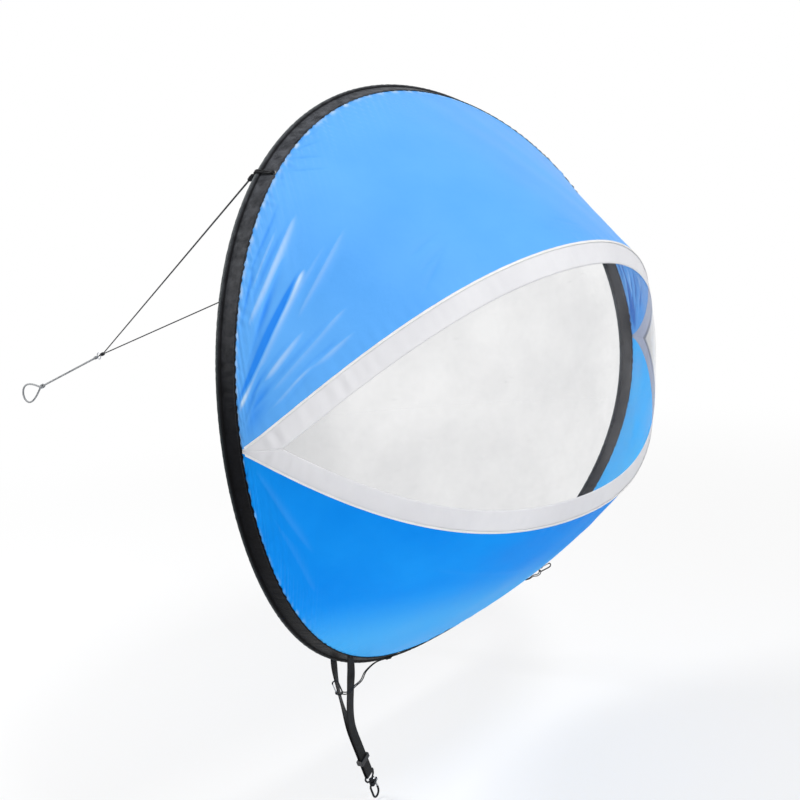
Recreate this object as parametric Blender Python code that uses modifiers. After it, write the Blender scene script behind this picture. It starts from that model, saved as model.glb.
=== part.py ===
"""Pop-up downwind sail for a kayak or canoe: a springy hoop in a cloth sleeve, a deep two-colour bowl with a
clear window, a bridle with a rein, and two foot straps with snap hooks.

Metres, +Z up. The sail stands upright and bellies forward, which is -Y. The origin is the lowest point of the
sleeve, in the sail's middle plane. The hoop is bent into a shallow saddle, and every cloth piece is lofted
between stations that the whole rim shares, so neighbours have the same facets and keep their gaps.
"""
from math import acos, asin, atan2, ceil, cos, floor, hypot, pi, radians, sin

import bmesh
import bpy
from mathutils import Matrix, Vector

# Clearances
GAP = 0.0003                  # between touching solids
LAYER_GAP = 0.00042           # between the panels and the sleeve's layers, which twist a little
CUT_OVER = 0.004              # how far a cutter runs past what it cuts

# Hoop: fibreglass rod in a ring, its ends joined by a tube
OUTER_DIAMETER = 1.08
ROD_DIAMETER = 0.006
ROD_PLAY = 0.0013             # round the rod, inside the sleeve
ROD_END_GAP = 0.001
FERRULE_LENGTH = 0.060
FERRULE_WALL = 0.0004
SADDLE = 0.0627               # how far the sides stand forward and the top and foot aft
FOOT_LEAN = 0.0081            # how much further aft the foot stands than the top
RING_STEPS = 64

# Sleeve: one strip folded round the rod, both layers sewn to the panels' edges
SLEEVE_CLOTH = 0.0008
SLEEVE_WIDTH = 0.033          # from the rod's centre to the sewn edge
SLEEVE_TUCK = 0.012           # how far the panels reach in between the layers
CHANNEL_STEPS = 7
FLANGE_ANGLE = radians(73)    # of the flat part against the hoop's plane
FLANGE_ANGLE_SIDE = radians(6)
FLANGE_ANGLE_TOP = radians(5)

# Bowl
PANEL_CLOTH = 0.0008
BOWL_DEPTH = 0.238            # from the window's tips to its middle
WINDOW_RISE = 0.247           # upper seam above the hoop's middle
WINDOW_DROP = 0.201           # lower seam below it
WINDOW_TIP = 0.003            # half height of the window's tip
UPPER_BULGE = 0.005
LOWER_BULGE = 0.015
WINDOW_BULGE = 0.026
PLAN_POWERS = (1.73, 1.40)    # roundness of the window's curve seen from above
RISE_POWERS = (2.03, 1.13)    # roundness of the upper seam
DROP_POWERS = (2.52, 1.06)    # roundness of the lower seam
PANEL_ROWS = 6
BORDER_WIDTH = 0.037          # of white cloth round the pane
PANE_OVERLAP = 0.008
PANE_SHEET = 0.0005
PANE_ROWS = 6
TAPE_WIDTH = 0.009
TAPE_CLOTH = 0.0006
TAPE_END = 0.010              # from the sleeve's edge to the tape's end

# Cord ties round the sleeve
EYELET_BORE = 0.0021
EYELET_WALL = 0.0005
EYELET_FLANGE = 0.0014
EYELET_LIP = 0.0005
EYELET_INSET = 0.005          # from the sewn edge to the eyelet's centre
LINE_DIAMETER = 0.003
LINE_ANGLE = radians(133)     # where the left bridle line is tied
TURN_SHARES = ((0.06, 0.72), (0.5, 1.0), (0.94, 0.72))   # one turn of a knot: place and radius
KNOT_LENGTH = 0.024
KNOT_DIAMETER = 0.0078
TETHER_DIAMETER = 0.002
TETHER_PLAY = 0.0008          # between its two strands
TETHER_ANGLE = radians(254.5)
TETHER_KNOT_LENGTH = 0.008
TETHER_KNOT_DIAMETER = 0.0055

# Bridle and rein
RING_DISTANCE = 1.1735        # bridle ring behind the foot
RING_HEIGHT = 0.5142
RING_SIZE = 0.020
RING_WIRE = 0.0028
BRIDLE_KNOT_SIZE = 0.010
BRIDLE_KNOT_LENGTH = 0.016
REIN_DIAMETER = 0.0055
REIN_LENGTH = 0.335
REIN_FALL = radians(17.3)     # of the rein below the level
HITCH_SIZE = 0.0095
HITCH_LENGTH = 0.012
REIN_KNOT_SIZE = 0.013
REIN_KNOT_LENGTH = 0.020
REIN_LOOP_LENGTH = 0.125
REIN_LOOP_WIDTH = 0.058
CORD_POINTS = 24
LOOP_POINTS = 28

# Foot straps: webbing loops through slots in the sleeve
STRAP_ANGLE = radians(236.5)  # where the left strap is on the hoop
STRAP_WIDTH = 0.020
STRAP_THICKNESS = 0.0015
STRAP_DROP = 0.249            # from the rod down to the hook's bar
STRAP_LEAN = 0.048            # how far the bar stands in from the rod
STRAP_END_LEAN = 0.30         # slope of the strap's lower end
STRAP_BEND = 0.006            # radius of its bend below the slot
STRAP_EASE = 0.0012           # between the strap and the sleeve
SLOT_INSET = 0.006            # from the sewn edge to the slot's middle
SLOT_PLAY = 0.00125
LEG_STEPS = 10
FRONT_TWISTS = (0, 10, 15)    # degrees, at the top, half way and at the slider
BACK_TWISTS = (20, 43, 15)
RIGHT_AFT = radians(58)       # the right strap is led aft behind the foot

# Slider on the strap
SLIDER_LENGTH = 0.010
SLIDER_WIDTH = 0.027
SLIDER_DEPTH = 0.0125
SLIDER_PLAY = 0.0008
SLIDER_ROUNDING = 0.0013
SLIDER_RISE = 0.036           # above the hook's bar

# Swivel snap hook
EYE_WIRE = 0.0036
EYE_WIDTH = 0.0275            # between the wire's middles
EYE_HEIGHT = 0.015
BOSS_DIAMETER = 0.008
BOSS_LENGTH = 0.0045
STEM_DIAMETER = 0.0042
STEM_HEAD_DIAMETER = 0.0074
STEM_HEAD_LENGTH = 0.002
HOOK_BASE_DIAMETER = 0.0112
HOOK_BASE_LENGTH = 0.0072
HOOK_WIRE = 0.0040
HOOK_WIDTH = 0.0185           # between the wire's middles
HOOK_LENGTH = 0.0225          # straight side, from the base to the bend
HOOK_TIP = 0.006              # of the tip above the bend's middle
LUG_THICKNESS = 0.0020
LUG_LENGTH = 0.0066
PIN_DIAMETER = 0.0020
PIN_HEAD = 0.0032
PIN_HEAD_LENGTH = 0.0007
GATE_WIRE = 0.0034
GATE_EYE = 0.0052
EYE_WIDTH_SHARE = 0.6         # of a gate's eye, as a share of its diameter

# Tether clip
CLIP_LENGTH = 0.034
CLIP_WIDTH = 0.013
CLIP_WIRE = 0.0026
CLIP_GATE_WIRE = 0.0020
CLIP_GATE_EYE = 0.0032
CLIP_PIN = 0.0013
CLIP_LUG = 0.0008
CLIP_SEAT = 0.0022            # from the wire's end to the gate's pin
CLIP_OFFSET = (-0.0352, -0.0362, -0.0310)   # from the rod under the strap to the clip's middle
CLIP_TILT = radians(-19)
CLIP_FACING = radians(133)
TETHER_TURN = radians(-150)   # where the tether turns round the clip's wire
TETHER_POINTS = 18
TETHER_SWING_SHARE = 1.4       # how soon along its way the tether has turned aft with the foot
# Middle of the doubled tether: shares of the straight way from its tie to the clip, and offsets from it
TETHER_SHARES = (0.256, 0.454, 0.668, 0.812, 0.902)
TETHER_OFFSETS = (
    (0, 0.0057, 0.0031),
    (0, 0.0058, -0.0030),
    (0, -0.0122, -0.0024),
    (0, -0.0155, -0.0039),
    (0, -0.0130, -0.0098),
)

CHANNEL_RADIUS = ROD_DIAMETER / 2 + ROD_PLAY + SLEEVE_CLOTH
HOOP_RADIUS = OUTER_DIAMETER / 2 - CHANNEL_RADIUS
FLANGE_HALF = PANEL_CLOTH / 2 + LAYER_GAP + SLEEVE_CLOTH
LAYER_OFFSET = FLANGE_HALF - SLEEVE_CLOTH / 2
TIP_ANGLE = WINDOW_TIP / HOOP_RADIUS
MIDDLE = OUTER_DIAMETER / 2

PARTS = None
CUTTERS = None


def empty_scene():
    """Remove the default objects and make the two collections."""
    global PARTS, CUTTERS
    for old in list(bpy.data.objects):
        bpy.data.objects.remove(old, do_unlink=True)
    PARTS = bpy.data.collections.new("canoe_sail")
    CUTTERS = bpy.data.collections.new("cutters")
    for collection in (PARTS, CUTTERS):
        bpy.context.scene.collection.children.link(collection)


def material(name, colour, roughness, metallic=0.0, alpha=1.0):
    """A plain Principled BSDF material."""
    made = bpy.data.materials.new(name)
    made.use_nodes = True
    shader = made.node_tree.nodes["Principled BSDF"]
    shader.inputs["Base Color"].default_value = (*colour, 1)
    shader.inputs["Roughness"].default_value = roughness
    shader.inputs["Metallic"].default_value = metallic
    shader.inputs["Alpha"].default_value = alpha
    return made


def add_object(name, data, look=None, collection=None):
    """Link a new object that holds this mesh or curve."""
    obj = bpy.data.objects.new(name, data)
    (collection or PARTS).objects.link(obj)
    if look:
        data.materials.append(look)
    return obj


def mesh_object(name, points, faces, look=None, collection=None):
    """An object from computed points; points that coincide are merged and the faces are made consistent."""
    mesh = bpy.data.meshes.new(name)
    mesh.from_pydata([tuple(p) for p in points], [], faces)
    work = bmesh.new()
    work.from_mesh(mesh)
    bmesh.ops.remove_doubles(work, verts=work.verts, dist=GAP / 100)
    bmesh.ops.recalc_face_normals(work, faces=work.faces)
    work.to_mesh(mesh)
    work.free()
    return add_object(name, mesh, look, collection)


def round_off(obj, angle=radians(40)):
    """Smooth shading with sharp edges kept."""
    obj.data.shade_smooth()
    obj.data.set_sharp_from_angle(angle=angle)


def grid_faces(rows, columns, closed=False):
    """Quads of a grid whose points are stored row by row; closed joins the last row to the first."""
    faces = []
    for i in range(rows if closed else rows - 1):
        a = i * columns
        b = ((i + 1) % rows) * columns
        faces += [(a + j, a + j + 1, b + j + 1, b + j) for j in range(columns - 1)]
    return faces


def thicken(obj, thickness, offset):
    """Solidify: offset 1 grows along the normals, -1 against them, 0 both ways."""
    shell = obj.modifiers.new("Solidify", "SOLIDIFY")
    shell.thickness = thickness
    shell.offset = offset
    shell.use_even_offset = True


def face_outward(obj, outward):
    """Turn an open surface so that its first face looks along the outward direction at its middle."""
    face = obj.data.polygons[len(obj.data.polygons) // 2]
    if face.normal.dot(outward(face.center)) < 0:
        obj.data.flip_normals()


def cut(obj, cutter, operation="DIFFERENCE"):
    """Boolean with the EXACT solver."""
    boolean = obj.modifiers.new(operation.title(), "BOOLEAN")
    boolean.operation = operation
    boolean.solver = "EXACT"
    boolean.object = cutter


def hide_cutter(obj):
    obj.hide_render = True
    obj.display_type = "WIRE"


def tube(name, points, diameter, look=None, cyclic=False, resolution=2, collection=None):
    """A POLY curve with a round bevel and filled caps."""
    curve = bpy.data.curves.new(name, "CURVE")
    curve.dimensions = "3D"
    curve.bevel_depth = diameter / 2
    curve.bevel_resolution = resolution
    curve.use_fill_caps = True
    curve.render_resolution_u = 0
    spline = curve.splines.new("POLY")
    spline.points.add(len(points) - 1)
    for slot, point in zip(spline.points, points):
        slot.co = (*point, 1)
    spline.use_cyclic_u = cyclic
    return add_object(name, curve, look, collection)


def solid_from_curve(obj):
    """Turn a curve into a welded mesh, so that it can be cut and joined."""
    bpy.context.view_layer.update()
    graph = bpy.context.evaluated_depsgraph_get()
    mesh = bpy.data.meshes.new_from_object(obj.evaluated_get(graph))
    work = bmesh.new()
    work.from_mesh(mesh)
    bmesh.ops.remove_doubles(work, verts=work.verts, dist=GAP / 100)
    work.to_mesh(mesh)
    work.free()
    name, place, collection = obj.name, obj.matrix_world.copy(), obj.users_collection[0]
    bpy.data.objects.remove(obj, do_unlink=True)
    made = bpy.data.objects.new(name, mesh)
    collection.objects.link(made)
    made.matrix_world = place
    return made


def cylinder(name, diameter, length, look=None, sides=16, collection=None):
    """A cylinder along Z, centred."""
    mesh = bpy.data.meshes.new(name)
    work = bmesh.new()
    bmesh.ops.create_cone(work, cap_ends=True, segments=sides, radius1=diameter / 2, radius2=diameter / 2,
                          depth=length)
    work.to_mesh(mesh)
    work.free()
    obj = add_object(name, mesh, look, collection)
    round_off(obj)
    return obj


def box(name, size, look=None, collection=None):
    """A box, centred."""
    mesh = bpy.data.meshes.new(name)
    work = bmesh.new()
    bmesh.ops.create_cube(work, size=1)
    bmesh.ops.scale(work, vec=Vector(size), verts=work.verts)
    work.to_mesh(mesh)
    work.free()
    return add_object(name, mesh, look, collection)


def turned(name, profile, look=None, steps=16, collection=None):
    """A profile of (radius, height) pairs, top to bottom down the outer side, turned round Z and welded."""
    mesh = bpy.data.meshes.new(name)
    closed = all(radius > 0 for radius, height in profile)
    count = len(profile)
    edges = [(i, (i + 1) % count) for i in range(count if closed else count - 1)]
    mesh.from_pydata([(radius, 0, height) for radius, height in profile], edges, [])
    obj = add_object(name, mesh, look, collection)
    screw = obj.modifiers.new("Screw", "SCREW")
    screw.steps = steps
    screw.render_steps = steps
    screw.use_merge_vertices = True
    screw.merge_threshold = GAP / 100
    screw.use_smooth_shade = False
    return obj


def frame(origin, x_axis, y_axis, z_axis):
    """A placement matrix from an origin and three unit axes."""
    matrix = Matrix((x_axis, y_axis, z_axis)).transposed().to_4x4()
    matrix.translation = origin
    return matrix


def pivot(name, matrix):
    """An empty on a joint's axis, which the moving pieces hang from."""
    empty = bpy.data.objects.new(name, None)
    PARTS.objects.link(empty)
    empty.empty_display_size = STRAP_WIDTH
    empty.matrix_world = matrix
    return empty


def hang(obj, empty):
    """Parent a piece to an empty and leave it where it is."""
    bpy.context.view_layer.update()
    placed = obj.matrix_world.copy()
    obj.parent = empty
    obj.matrix_parent_inverse = empty.matrix_world.inverted()
    obj.matrix_world = placed


# Rim: the rod's line and the frame of the sleeve's section at each station

def rod_point(angle):
    """Rod's centre line; angle 0 is the right side and 90 degrees the top."""
    back = -SADDLE * cos(2 * angle) + FOOT_LEAN * sin(3 * angle)
    return Vector((HOOP_RADIUS * cos(angle), back - SADDLE - FOOT_LEAN, HOOP_RADIUS * sin(angle) + MIDDLE))


def rod_tangent(angle):
    back = 2 * SADDLE * sin(2 * angle) + 3 * FOOT_LEAN * cos(3 * angle)
    return Vector((-HOOP_RADIUS * sin(angle), back, HOOP_RADIUS * cos(angle))).normalized()


def station(index):
    """Rod point, direction across the sleeve and outward normal at one of the shared stations."""
    angle = 2 * pi * index / RING_STEPS
    along = rod_tangent(angle)
    slope = FLANGE_ANGLE + FLANGE_ANGLE_SIDE * cos(2 * angle) + FLANGE_ANGLE_TOP * sin(angle)
    across = Vector((-cos(slope) * cos(angle), -sin(slope), -cos(slope) * sin(angle)))
    outward = along.cross(across).normalized()
    across = outward.cross(along).normalized()
    return rod_point(angle), across, outward


def section(angle):
    """The same three vectors anywhere on the rim, on the straight run between two stations."""
    place = angle / (2 * pi) * RING_STEPS
    first = floor(place)
    share = place - first
    return [a.lerp(b, share) for a, b in zip(station(first), station(first + 1))]


def on_sleeve(angle, across_by, outward_by):
    """A point in the sleeve's section: so far from the rod across the sleeve, and so far outward."""
    rod, across, outward = section(angle)
    return rod + across * across_by + outward * outward_by


def section_frame(angle, across_by):
    """Placement with X along the rim, Y outward and Z across the sleeve."""
    rod, across, outward = section(angle)
    along = rod_tangent(angle)
    outward = (outward - along * outward.dot(along)).normalized()
    return frame(rod + across * across_by, along, outward, along.cross(outward))


# Bowl: both seams and the surfaces between them

def roundness(share, powers):
    """Falls from 1 in the middle to 0 at the tips, as a superellipse does."""
    return max(0.0, 1 - abs(share) ** powers[0]) ** (1 / powers[1])


def seam_turn(angle):
    """Runs from 90 degrees at the right tip to -90 at the left one."""
    return (pi / 2 - angle) / (pi / 2 - TIP_ANGLE) * pi / 2


def seam(angle, side):
    """Seam point above (side 1) or below (side -1) the rim's point at this angle."""
    corner = on_sleeve(side * TIP_ANGLE, SLEEVE_WIDTH, -PANEL_CLOTH / 2)
    share = sin(seam_turn(angle))
    tip = side * (corner.z - MIDDLE)
    rise, powers = (WINDOW_RISE, RISE_POWERS) if side > 0 else (WINDOW_DROP, DROP_POWERS)
    height = tip + (rise - tip) * roundness(share, powers)
    return Vector((corner.x * share, corner.y - BOWL_DEPTH * roundness(share, PLAN_POWERS), MIDDLE + side * height))


def plan_share(angle):
    return roundness(sin(seam_turn(angle)), PLAN_POWERS)


def panel_point(angle, side, share):
    """Upper or lower panel: a straight run from the sleeve's edge to the seam, with a slight bulge."""
    start = on_sleeve(side * angle, SLEEVE_WIDTH, -PANEL_CLOTH / 2)
    bulge = UPPER_BULGE if side > 0 else LOWER_BULGE
    out = Vector((0, -1, side)).normalized() * bulge * 4 * share * (1 - share) * plan_share(angle)
    return start.lerp(seam(angle, side), share) + out


def window_point(angle, share):
    """Window surface: from the upper seam (share 0) straight down to the lower one, bulging forward."""
    out = Vector((0, -WINDOW_BULGE * 4 * share * (1 - share) * plan_share(angle), 0))
    return seam(angle, 1).lerp(seam(angle, -1), share) + out


def window_normal(angle, share):
    """Outward normal of the window surface."""
    step = TIP_ANGLE
    sideways = window_point(angle + step, share) - window_point(angle - step, share)
    down = seam(angle, -1) - seam(angle, 1)
    down += Vector((0, -WINDOW_BULGE * 4 * (1 - 2 * share) * plan_share(angle), 0))
    normal = sideways.cross(down).normalized()
    return normal if normal.y < 0 else -normal


def window_height(angle):
    return (seam(angle, 1) - seam(angle, -1)).length


def rim_angles():
    """Stations from the right tip over the top to the left tip."""
    inner = [2 * pi * i / RING_STEPS for i in range(1, RING_STEPS // 2)]
    return [TIP_ANGLE] + inner + [pi - TIP_ANGLE]


def away_from_middle(point):
    """Rough outward direction of the bowl at a point."""
    return point - Vector((0, 0, MIDDLE))


def make_rod(look):
    """Fibreglass rod, bent to a ring that is open at the foot."""
    foot = 3 * pi / 2
    step = 2 * pi / RING_STEPS
    points = [rod_point(foot + step * i) for i in range(RING_STEPS + 1)]
    points[0] += (points[1] - points[0]).normalized() * ROD_END_GAP / 2
    points[-1] += (points[-2] - points[-1]).normalized() * ROD_END_GAP / 2
    return tube("hoop_rod", points, ROD_DIAMETER, look, resolution=1)


def make_ferrule(look):
    """Tube over both ends of the rod, on the rod's own straight runs."""
    foot = 3 * pi / 2
    reach = FERRULE_LENGTH / 2
    centre = rod_point(foot)
    ends = [centre + (rod_point(foot + turn) - centre).normalized() * reach
            for turn in (-2 * pi / RING_STEPS, 2 * pi / RING_STEPS)]
    sides = 12
    points = []
    for place in (ends[0], centre, ends[1]):
        along = Vector((1, 0, 0))
        back = Vector((0, 1, 0))
        up = along.cross(back)
        radius = ROD_DIAMETER / 2 + GAP
        points += [place + (back * cos(2 * pi * k / sides) + up * sin(2 * pi * k / sides)) * radius
                   for k in range(sides)]
    faces = []
    for i in range(2):
        for k in range(sides):
            m = (k + 1) % sides
            faces.append((i * sides + k, i * sides + m, (i + 1) * sides + m, (i + 1) * sides + k))
    ferrule = mesh_object("hoop_ferrule", points, faces, look)
    face_outward(ferrule, lambda place: place - Vector((place.x, centre.y, centre.z)))
    thicken(ferrule, FERRULE_WALL, 1)
    round_off(ferrule)
    return ferrule


def sleeve_profile():
    """Middle line of the folded strip: edge, outer layer, round the rod, inner layer, edge."""
    radius = CHANNEL_RADIUS - SLEEVE_CLOTH / 2
    mouth = asin(LAYER_OFFSET / radius)
    neck = radius * cos(mouth)
    bend = [mouth + (2 * pi - 2 * mouth) * k / CHANNEL_STEPS for k in range(1, CHANNEL_STEPS)]
    rounds = [(radius * cos(a), radius * sin(a)) for a in bend]
    tuck = SLEEVE_WIDTH - SLEEVE_TUCK
    outer = [(SLEEVE_WIDTH, LAYER_OFFSET), (tuck, LAYER_OFFSET), (neck, LAYER_OFFSET)]
    inner = [(neck, -LAYER_OFFSET), (tuck, -LAYER_OFFSET), (SLEEVE_WIDTH, -LAYER_OFFSET)]
    return outer + rounds + inner


def make_sleeve(look):
    """Folded sleeve swept round the whole rim."""
    profile = sleeve_profile()
    points = []
    for i in range(RING_STEPS):
        rod, across, outward = station(i)
        points += [rod + across * a + outward * b for a, b in profile]
    sleeve = mesh_object("rim_sleeve", points, grid_faces(RING_STEPS, len(profile), closed=True), look)
    thicken(sleeve, SLEEVE_CLOTH, 0)
    round_off(sleeve)
    return sleeve


def make_panel(name, side, look):
    """Blue panel: tucked between the sleeve's layers, then a loft to the window's seam."""
    angles = rim_angles()
    points = []
    for angle in angles:
        points.append(on_sleeve(side * angle, SLEEVE_WIDTH - SLEEVE_TUCK, -PANEL_CLOTH / 2))
        points += [panel_point(angle, side, j / PANEL_ROWS) for j in range(PANEL_ROWS + 1)]
    panel = mesh_object(name, points, grid_faces(len(angles), PANEL_ROWS + 2), look)
    face_outward(panel, away_from_middle)
    thicken(panel, PANEL_CLOTH, 1)
    round_off(panel)
    return panel


def pane_reach(margin):
    """Index of the first station whose window is higher than two margins."""
    for index, angle in enumerate(rim_angles()):
        if window_height(angle) > 2 * margin:
            return index
    return 0


def trimmed(angle, share, index, first, last):
    """Window point; at the seams it stands one gap back from the panels."""
    point = window_point(angle, share)
    if index == 0:
        point.z -= GAP
    if index == last - first:
        point.z += GAP
    return point


def make_border(look):
    """White lens from tip to tip, with the opening for the pane; both tips run into the sleeve."""
    angles = rim_angles()
    first = pane_reach(BORDER_WIDTH) - 1
    last = len(angles) - 1 - first
    points = []
    for angle in angles:
        height = window_height(angle)
        edge = min(0.5, BORDER_WIDTH / height)
        if not first < angles.index(angle) < last:
            edge = 0.5
        for index, share in enumerate((0, edge, 1 - edge, 1)):
            points.append(trimmed(angle, share, index, 0, 3))
    faces = []
    for i in range(len(angles) - 1):
        a, b = i * 4, (i + 1) * 4
        faces.append((a, a + 1, b + 1, b))
        faces.append((a + 2, a + 3, b + 3, b + 2))
    for row, turn in ((0, 0), (len(angles) - 1, pi)):
        rod, across, outward = section(turn)
        shift = across * -SLEEVE_TUCK
        base = len(points)
        corners = (row * 4, row * 4 + 1, row * 4 + 3)
        points += [points[k] + shift for k in corners]
        faces.append((corners[0], corners[1], base + 1, base))
        faces.append((corners[1], corners[2], base + 2, base + 1))
    border = mesh_object("window_border", points, faces, look)
    face_outward(border, away_from_middle)
    thicken(border, PANEL_CLOTH, 1)
    round_off(border)
    return border


def make_pane(look):
    """Clear sheet behind the border, a little larger than the opening."""
    angles = rim_angles()
    margin = BORDER_WIDTH - PANE_OVERLAP
    first = pane_reach(margin) - 1
    points = []
    span = angles[first:len(angles) - first]
    for number, angle in enumerate(span):
        edge = margin / window_height(angle)
        if number in (0, len(span) - 1):
            edge = 0.5
        for j in range(PANE_ROWS + 1):
            share = edge + (1 - 2 * edge) * j / PANE_ROWS
            points.append(window_point(angle, share) - window_normal(angle, share) * (GAP * 2))
    pane = mesh_object("window_pane", points, grid_faces(len(span), PANE_ROWS + 1), look)
    face_outward(pane, away_from_middle)
    thicken(pane, PANE_SHEET, -1)
    round_off(pane)
    return pane


def make_tape(name, side, look):
    """Folded tape over one seam, outside: one half lies on the panel and the other on the border."""
    corner_x = on_sleeve(TIP_ANGLE, SLEEVE_WIDTH, 0).x
    lift = PANEL_CLOTH + GAP
    points = []
    rows = 0
    for angle in rim_angles()[1:-1]:
        place = seam(angle, side)
        if corner_x - abs(place.x) < TAPE_END:
            continue
        sideways = (seam(angle + TIP_ANGLE, side) - seam(angle - TIP_ANGLE, side)).normalized()
        to_panel = (panel_point(angle, side, 1 - 1 / PANEL_ROWS) - place).normalized()
        share = 0 if side > 0 else 1
        inner = window_point(angle, abs(share - 1 / PANE_ROWS))
        to_window = (inner - place).normalized()
        panel_out = sideways.cross(to_panel).normalized() * side
        panel_out = panel_out if panel_out.dot(away_from_middle(place)) > 0 else -panel_out
        window_out = window_normal(angle, share)
        ridge = (panel_out + window_out).normalized()
        points.append(place + to_panel * TAPE_WIDTH / 2 + panel_out * lift)
        points.append(place + ridge * lift / ridge.dot(panel_out))
        points.append(place + to_window * TAPE_WIDTH / 2 + window_out * lift)
        rows += 1
    tape = mesh_object(name, points, grid_faces(rows, 3), look)
    face_outward(tape, away_from_middle)
    thicken(tape, TAPE_CLOTH, 1)
    round_off(tape)
    return tape


# Ties: a turn of cord round the sleeve through an eyelet, and a knot under it

def eyelet_profile():
    half = FLANGE_HALF + GAP
    bore, barrel = EYELET_BORE, EYELET_BORE + EYELET_WALL
    lip = barrel + EYELET_FLANGE
    return [(bore, half + EYELET_LIP), (lip, half + EYELET_LIP), (lip, half), (barrel, half), (barrel, -half),
            (lip, -half), (lip, -half - EYELET_LIP), (bore, -half - EYELET_LIP)]


def make_eyelet(name, angle, look, cut_from):
    """Metal eyelet through both layers of the sleeve and the panel between them."""
    place = section_frame(angle, SLEEVE_WIDTH - EYELET_INSET) @ Matrix.Rotation(-pi / 2, 4, "X")
    eyelet = turned(name, eyelet_profile(), look, steps=12)
    eyelet.matrix_world = place
    hole = cylinder(name + "_hole", 2 * (EYELET_BORE + EYELET_WALL + GAP), 2 * (FLANGE_HALF + CUT_OVER),
                    sides=16, collection=CUTTERS)
    hole.matrix_world = place
    hide_cutter(hole)
    for target in cut_from:
        cut(target, hole)
    return eyelet


def round_sleeve(start, radius, count):
    """Points of an arc round the back of the channel, from an angle to its mirror."""
    turn = (2 * pi - 2 * start) / count
    return [(radius * cos(start + turn * k), radius * sin(start + turn * k)) for k in range(count + 1)]


def touch_angle(across, outward, radius):
    """Where a straight run from this point in the section touches a circle round the rod."""
    return atan2(outward, across) + acos(radius / hypot(across, outward))


def tie_outline(diameter):
    """Cord's middle line in the sleeve's section, as (across, outward) pairs, through the eyelet and round."""
    hole = SLEEVE_WIDTH - EYELET_INSET
    flat = FLANGE_HALF + GAP + diameter / 2
    over = FLANGE_HALF + 2 * GAP + EYELET_LIP + diameter / 2
    radius = CHANNEL_RADIUS + GAP + diameter / 2
    lip = EYELET_BORE + EYELET_WALL + EYELET_FLANGE
    down = hole - lip - 2 * diameter
    side = [(hole, over - diameter * 0.4), (hole - diameter * 0.35, over), (hole - lip, over), (down, flat)]
    rounds = round_sleeve(touch_angle(down, flat, radius), radius, 8)
    return [(hole, 0)] + side + rounds + [(a, -b) for a, b in reversed(side)]


def make_tie(name, angle, diameter, look):
    """One closed turn of cord round the sleeve."""
    points = [on_sleeve(angle, a, b) for a, b in tie_outline(diameter)]
    return tube(name, points, diameter, look, cyclic=True, resolution=1)


def knot_profile(length, size, bore):
    """Barrel knot: three swelling turns round the cord."""
    turns = 3
    rows = []
    for k in range(turns):
        top = length / 2 - length * k / turns
        for share, swell in TURN_SHARES:
            rows.append((size / 2 * swell, top - length / turns * share))
    return [(bore, length / 2)] + rows + [(bore, -length / 2)]


def solid_knot_profile(length, size):
    """The same knot with no bore."""
    return [(0, length / 2)] + knot_profile(length, size, 0)[1:-1] + [(0, -length / 2)]


def make_knot(name, place, direction, length, size, cord, look):
    """A knot on a cord, centred at a place with its axis along the cord."""
    knot = turned(name, knot_profile(length, size, cord / 2 + GAP), look, steps=10)
    knot.matrix_world = Matrix.Translation(place) @ direction.to_track_quat("Z", "Y").to_matrix().to_4x4()
    return knot


def mirrored(points):
    return [Vector((-p[0], p[1], p[2])) for p in points]


def straight(start, end, count):
    return [start.lerp(end, k / (count - 1)) for k in range(count)]


def ring_place():
    return Vector((0, RING_DISTANCE, RING_HEIGHT))


def rein_direction():
    return Vector((0, cos(REIN_FALL), -sin(REIN_FALL)))


def smooth_run(points, count):
    """Points read evenly from a smooth curve through the given ones."""
    runs = len(points) - 1
    made = []
    for k in range(count):
        place = runs * k / (count - 1)
        first = min(int(place), runs - 1)
        share = place - first
        before = points[max(first - 1, 0)]
        a, b = points[first], points[first + 1]
        after = points[min(first + 2, runs)]
        made.append(a * (1 - 2.5 * share ** 2 + 1.5 * share ** 3) + b * (share / 2 + 2 * share ** 2 - 1.5 * share ** 3)
                    + before * (share ** 2 - share / 2 - share ** 3 / 2) + after * (share ** 3 - share ** 2) / 2)
    return made


def make_bight_knot(name, wire, direction, cord, length, size, look):
    """A knot whose cord goes once round a ring's wire, just beyond the knot's end."""
    radius = RING_WIRE / 2 + GAP + cord / 2
    back = wire - direction * (radius + cord / 2)
    sideways = Vector((1, 0, 0))
    turns = [radians(v) for v in range(-120, 121, 30)]
    bight = [wire + (direction * cos(a) + sideways * sin(a)) * radius for a in turns]
    deep = back - direction * length / 2
    bight = [deep - sideways * cord / 4] + bight + [deep + sideways * cord / 4]
    knot = solid_from_curve(tube(name, bight, cord, cyclic=True, resolution=1))
    knot.data.materials.append(look)
    body = turned(name + "_body", solid_knot_profile(length, size), steps=9, collection=CUTTERS)
    body.matrix_world = upright(back - direction * length / 2, direction)
    hide_cutter(body)
    cut(knot, body, "UNION")
    return back - direction * length


def upright(place, direction):
    """Placement at a point with Z along a direction."""
    return Matrix.Translation(place) @ direction.to_track_quat("Z", "Y").to_matrix().to_4x4()


def make_ring(look):
    """Ring that both lines and the rein are tied to; it stands in the sail's middle plane."""
    radius = RING_SIZE / 2 - RING_WIRE / 2
    turns = [2 * pi * k / 20 for k in range(20)]
    points = [ring_place() + Vector((0, cos(a), sin(a))) * radius for a in turns]
    tube("bridle_ring", points, RING_WIRE, look, cyclic=True, resolution=1)
    return radius


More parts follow.
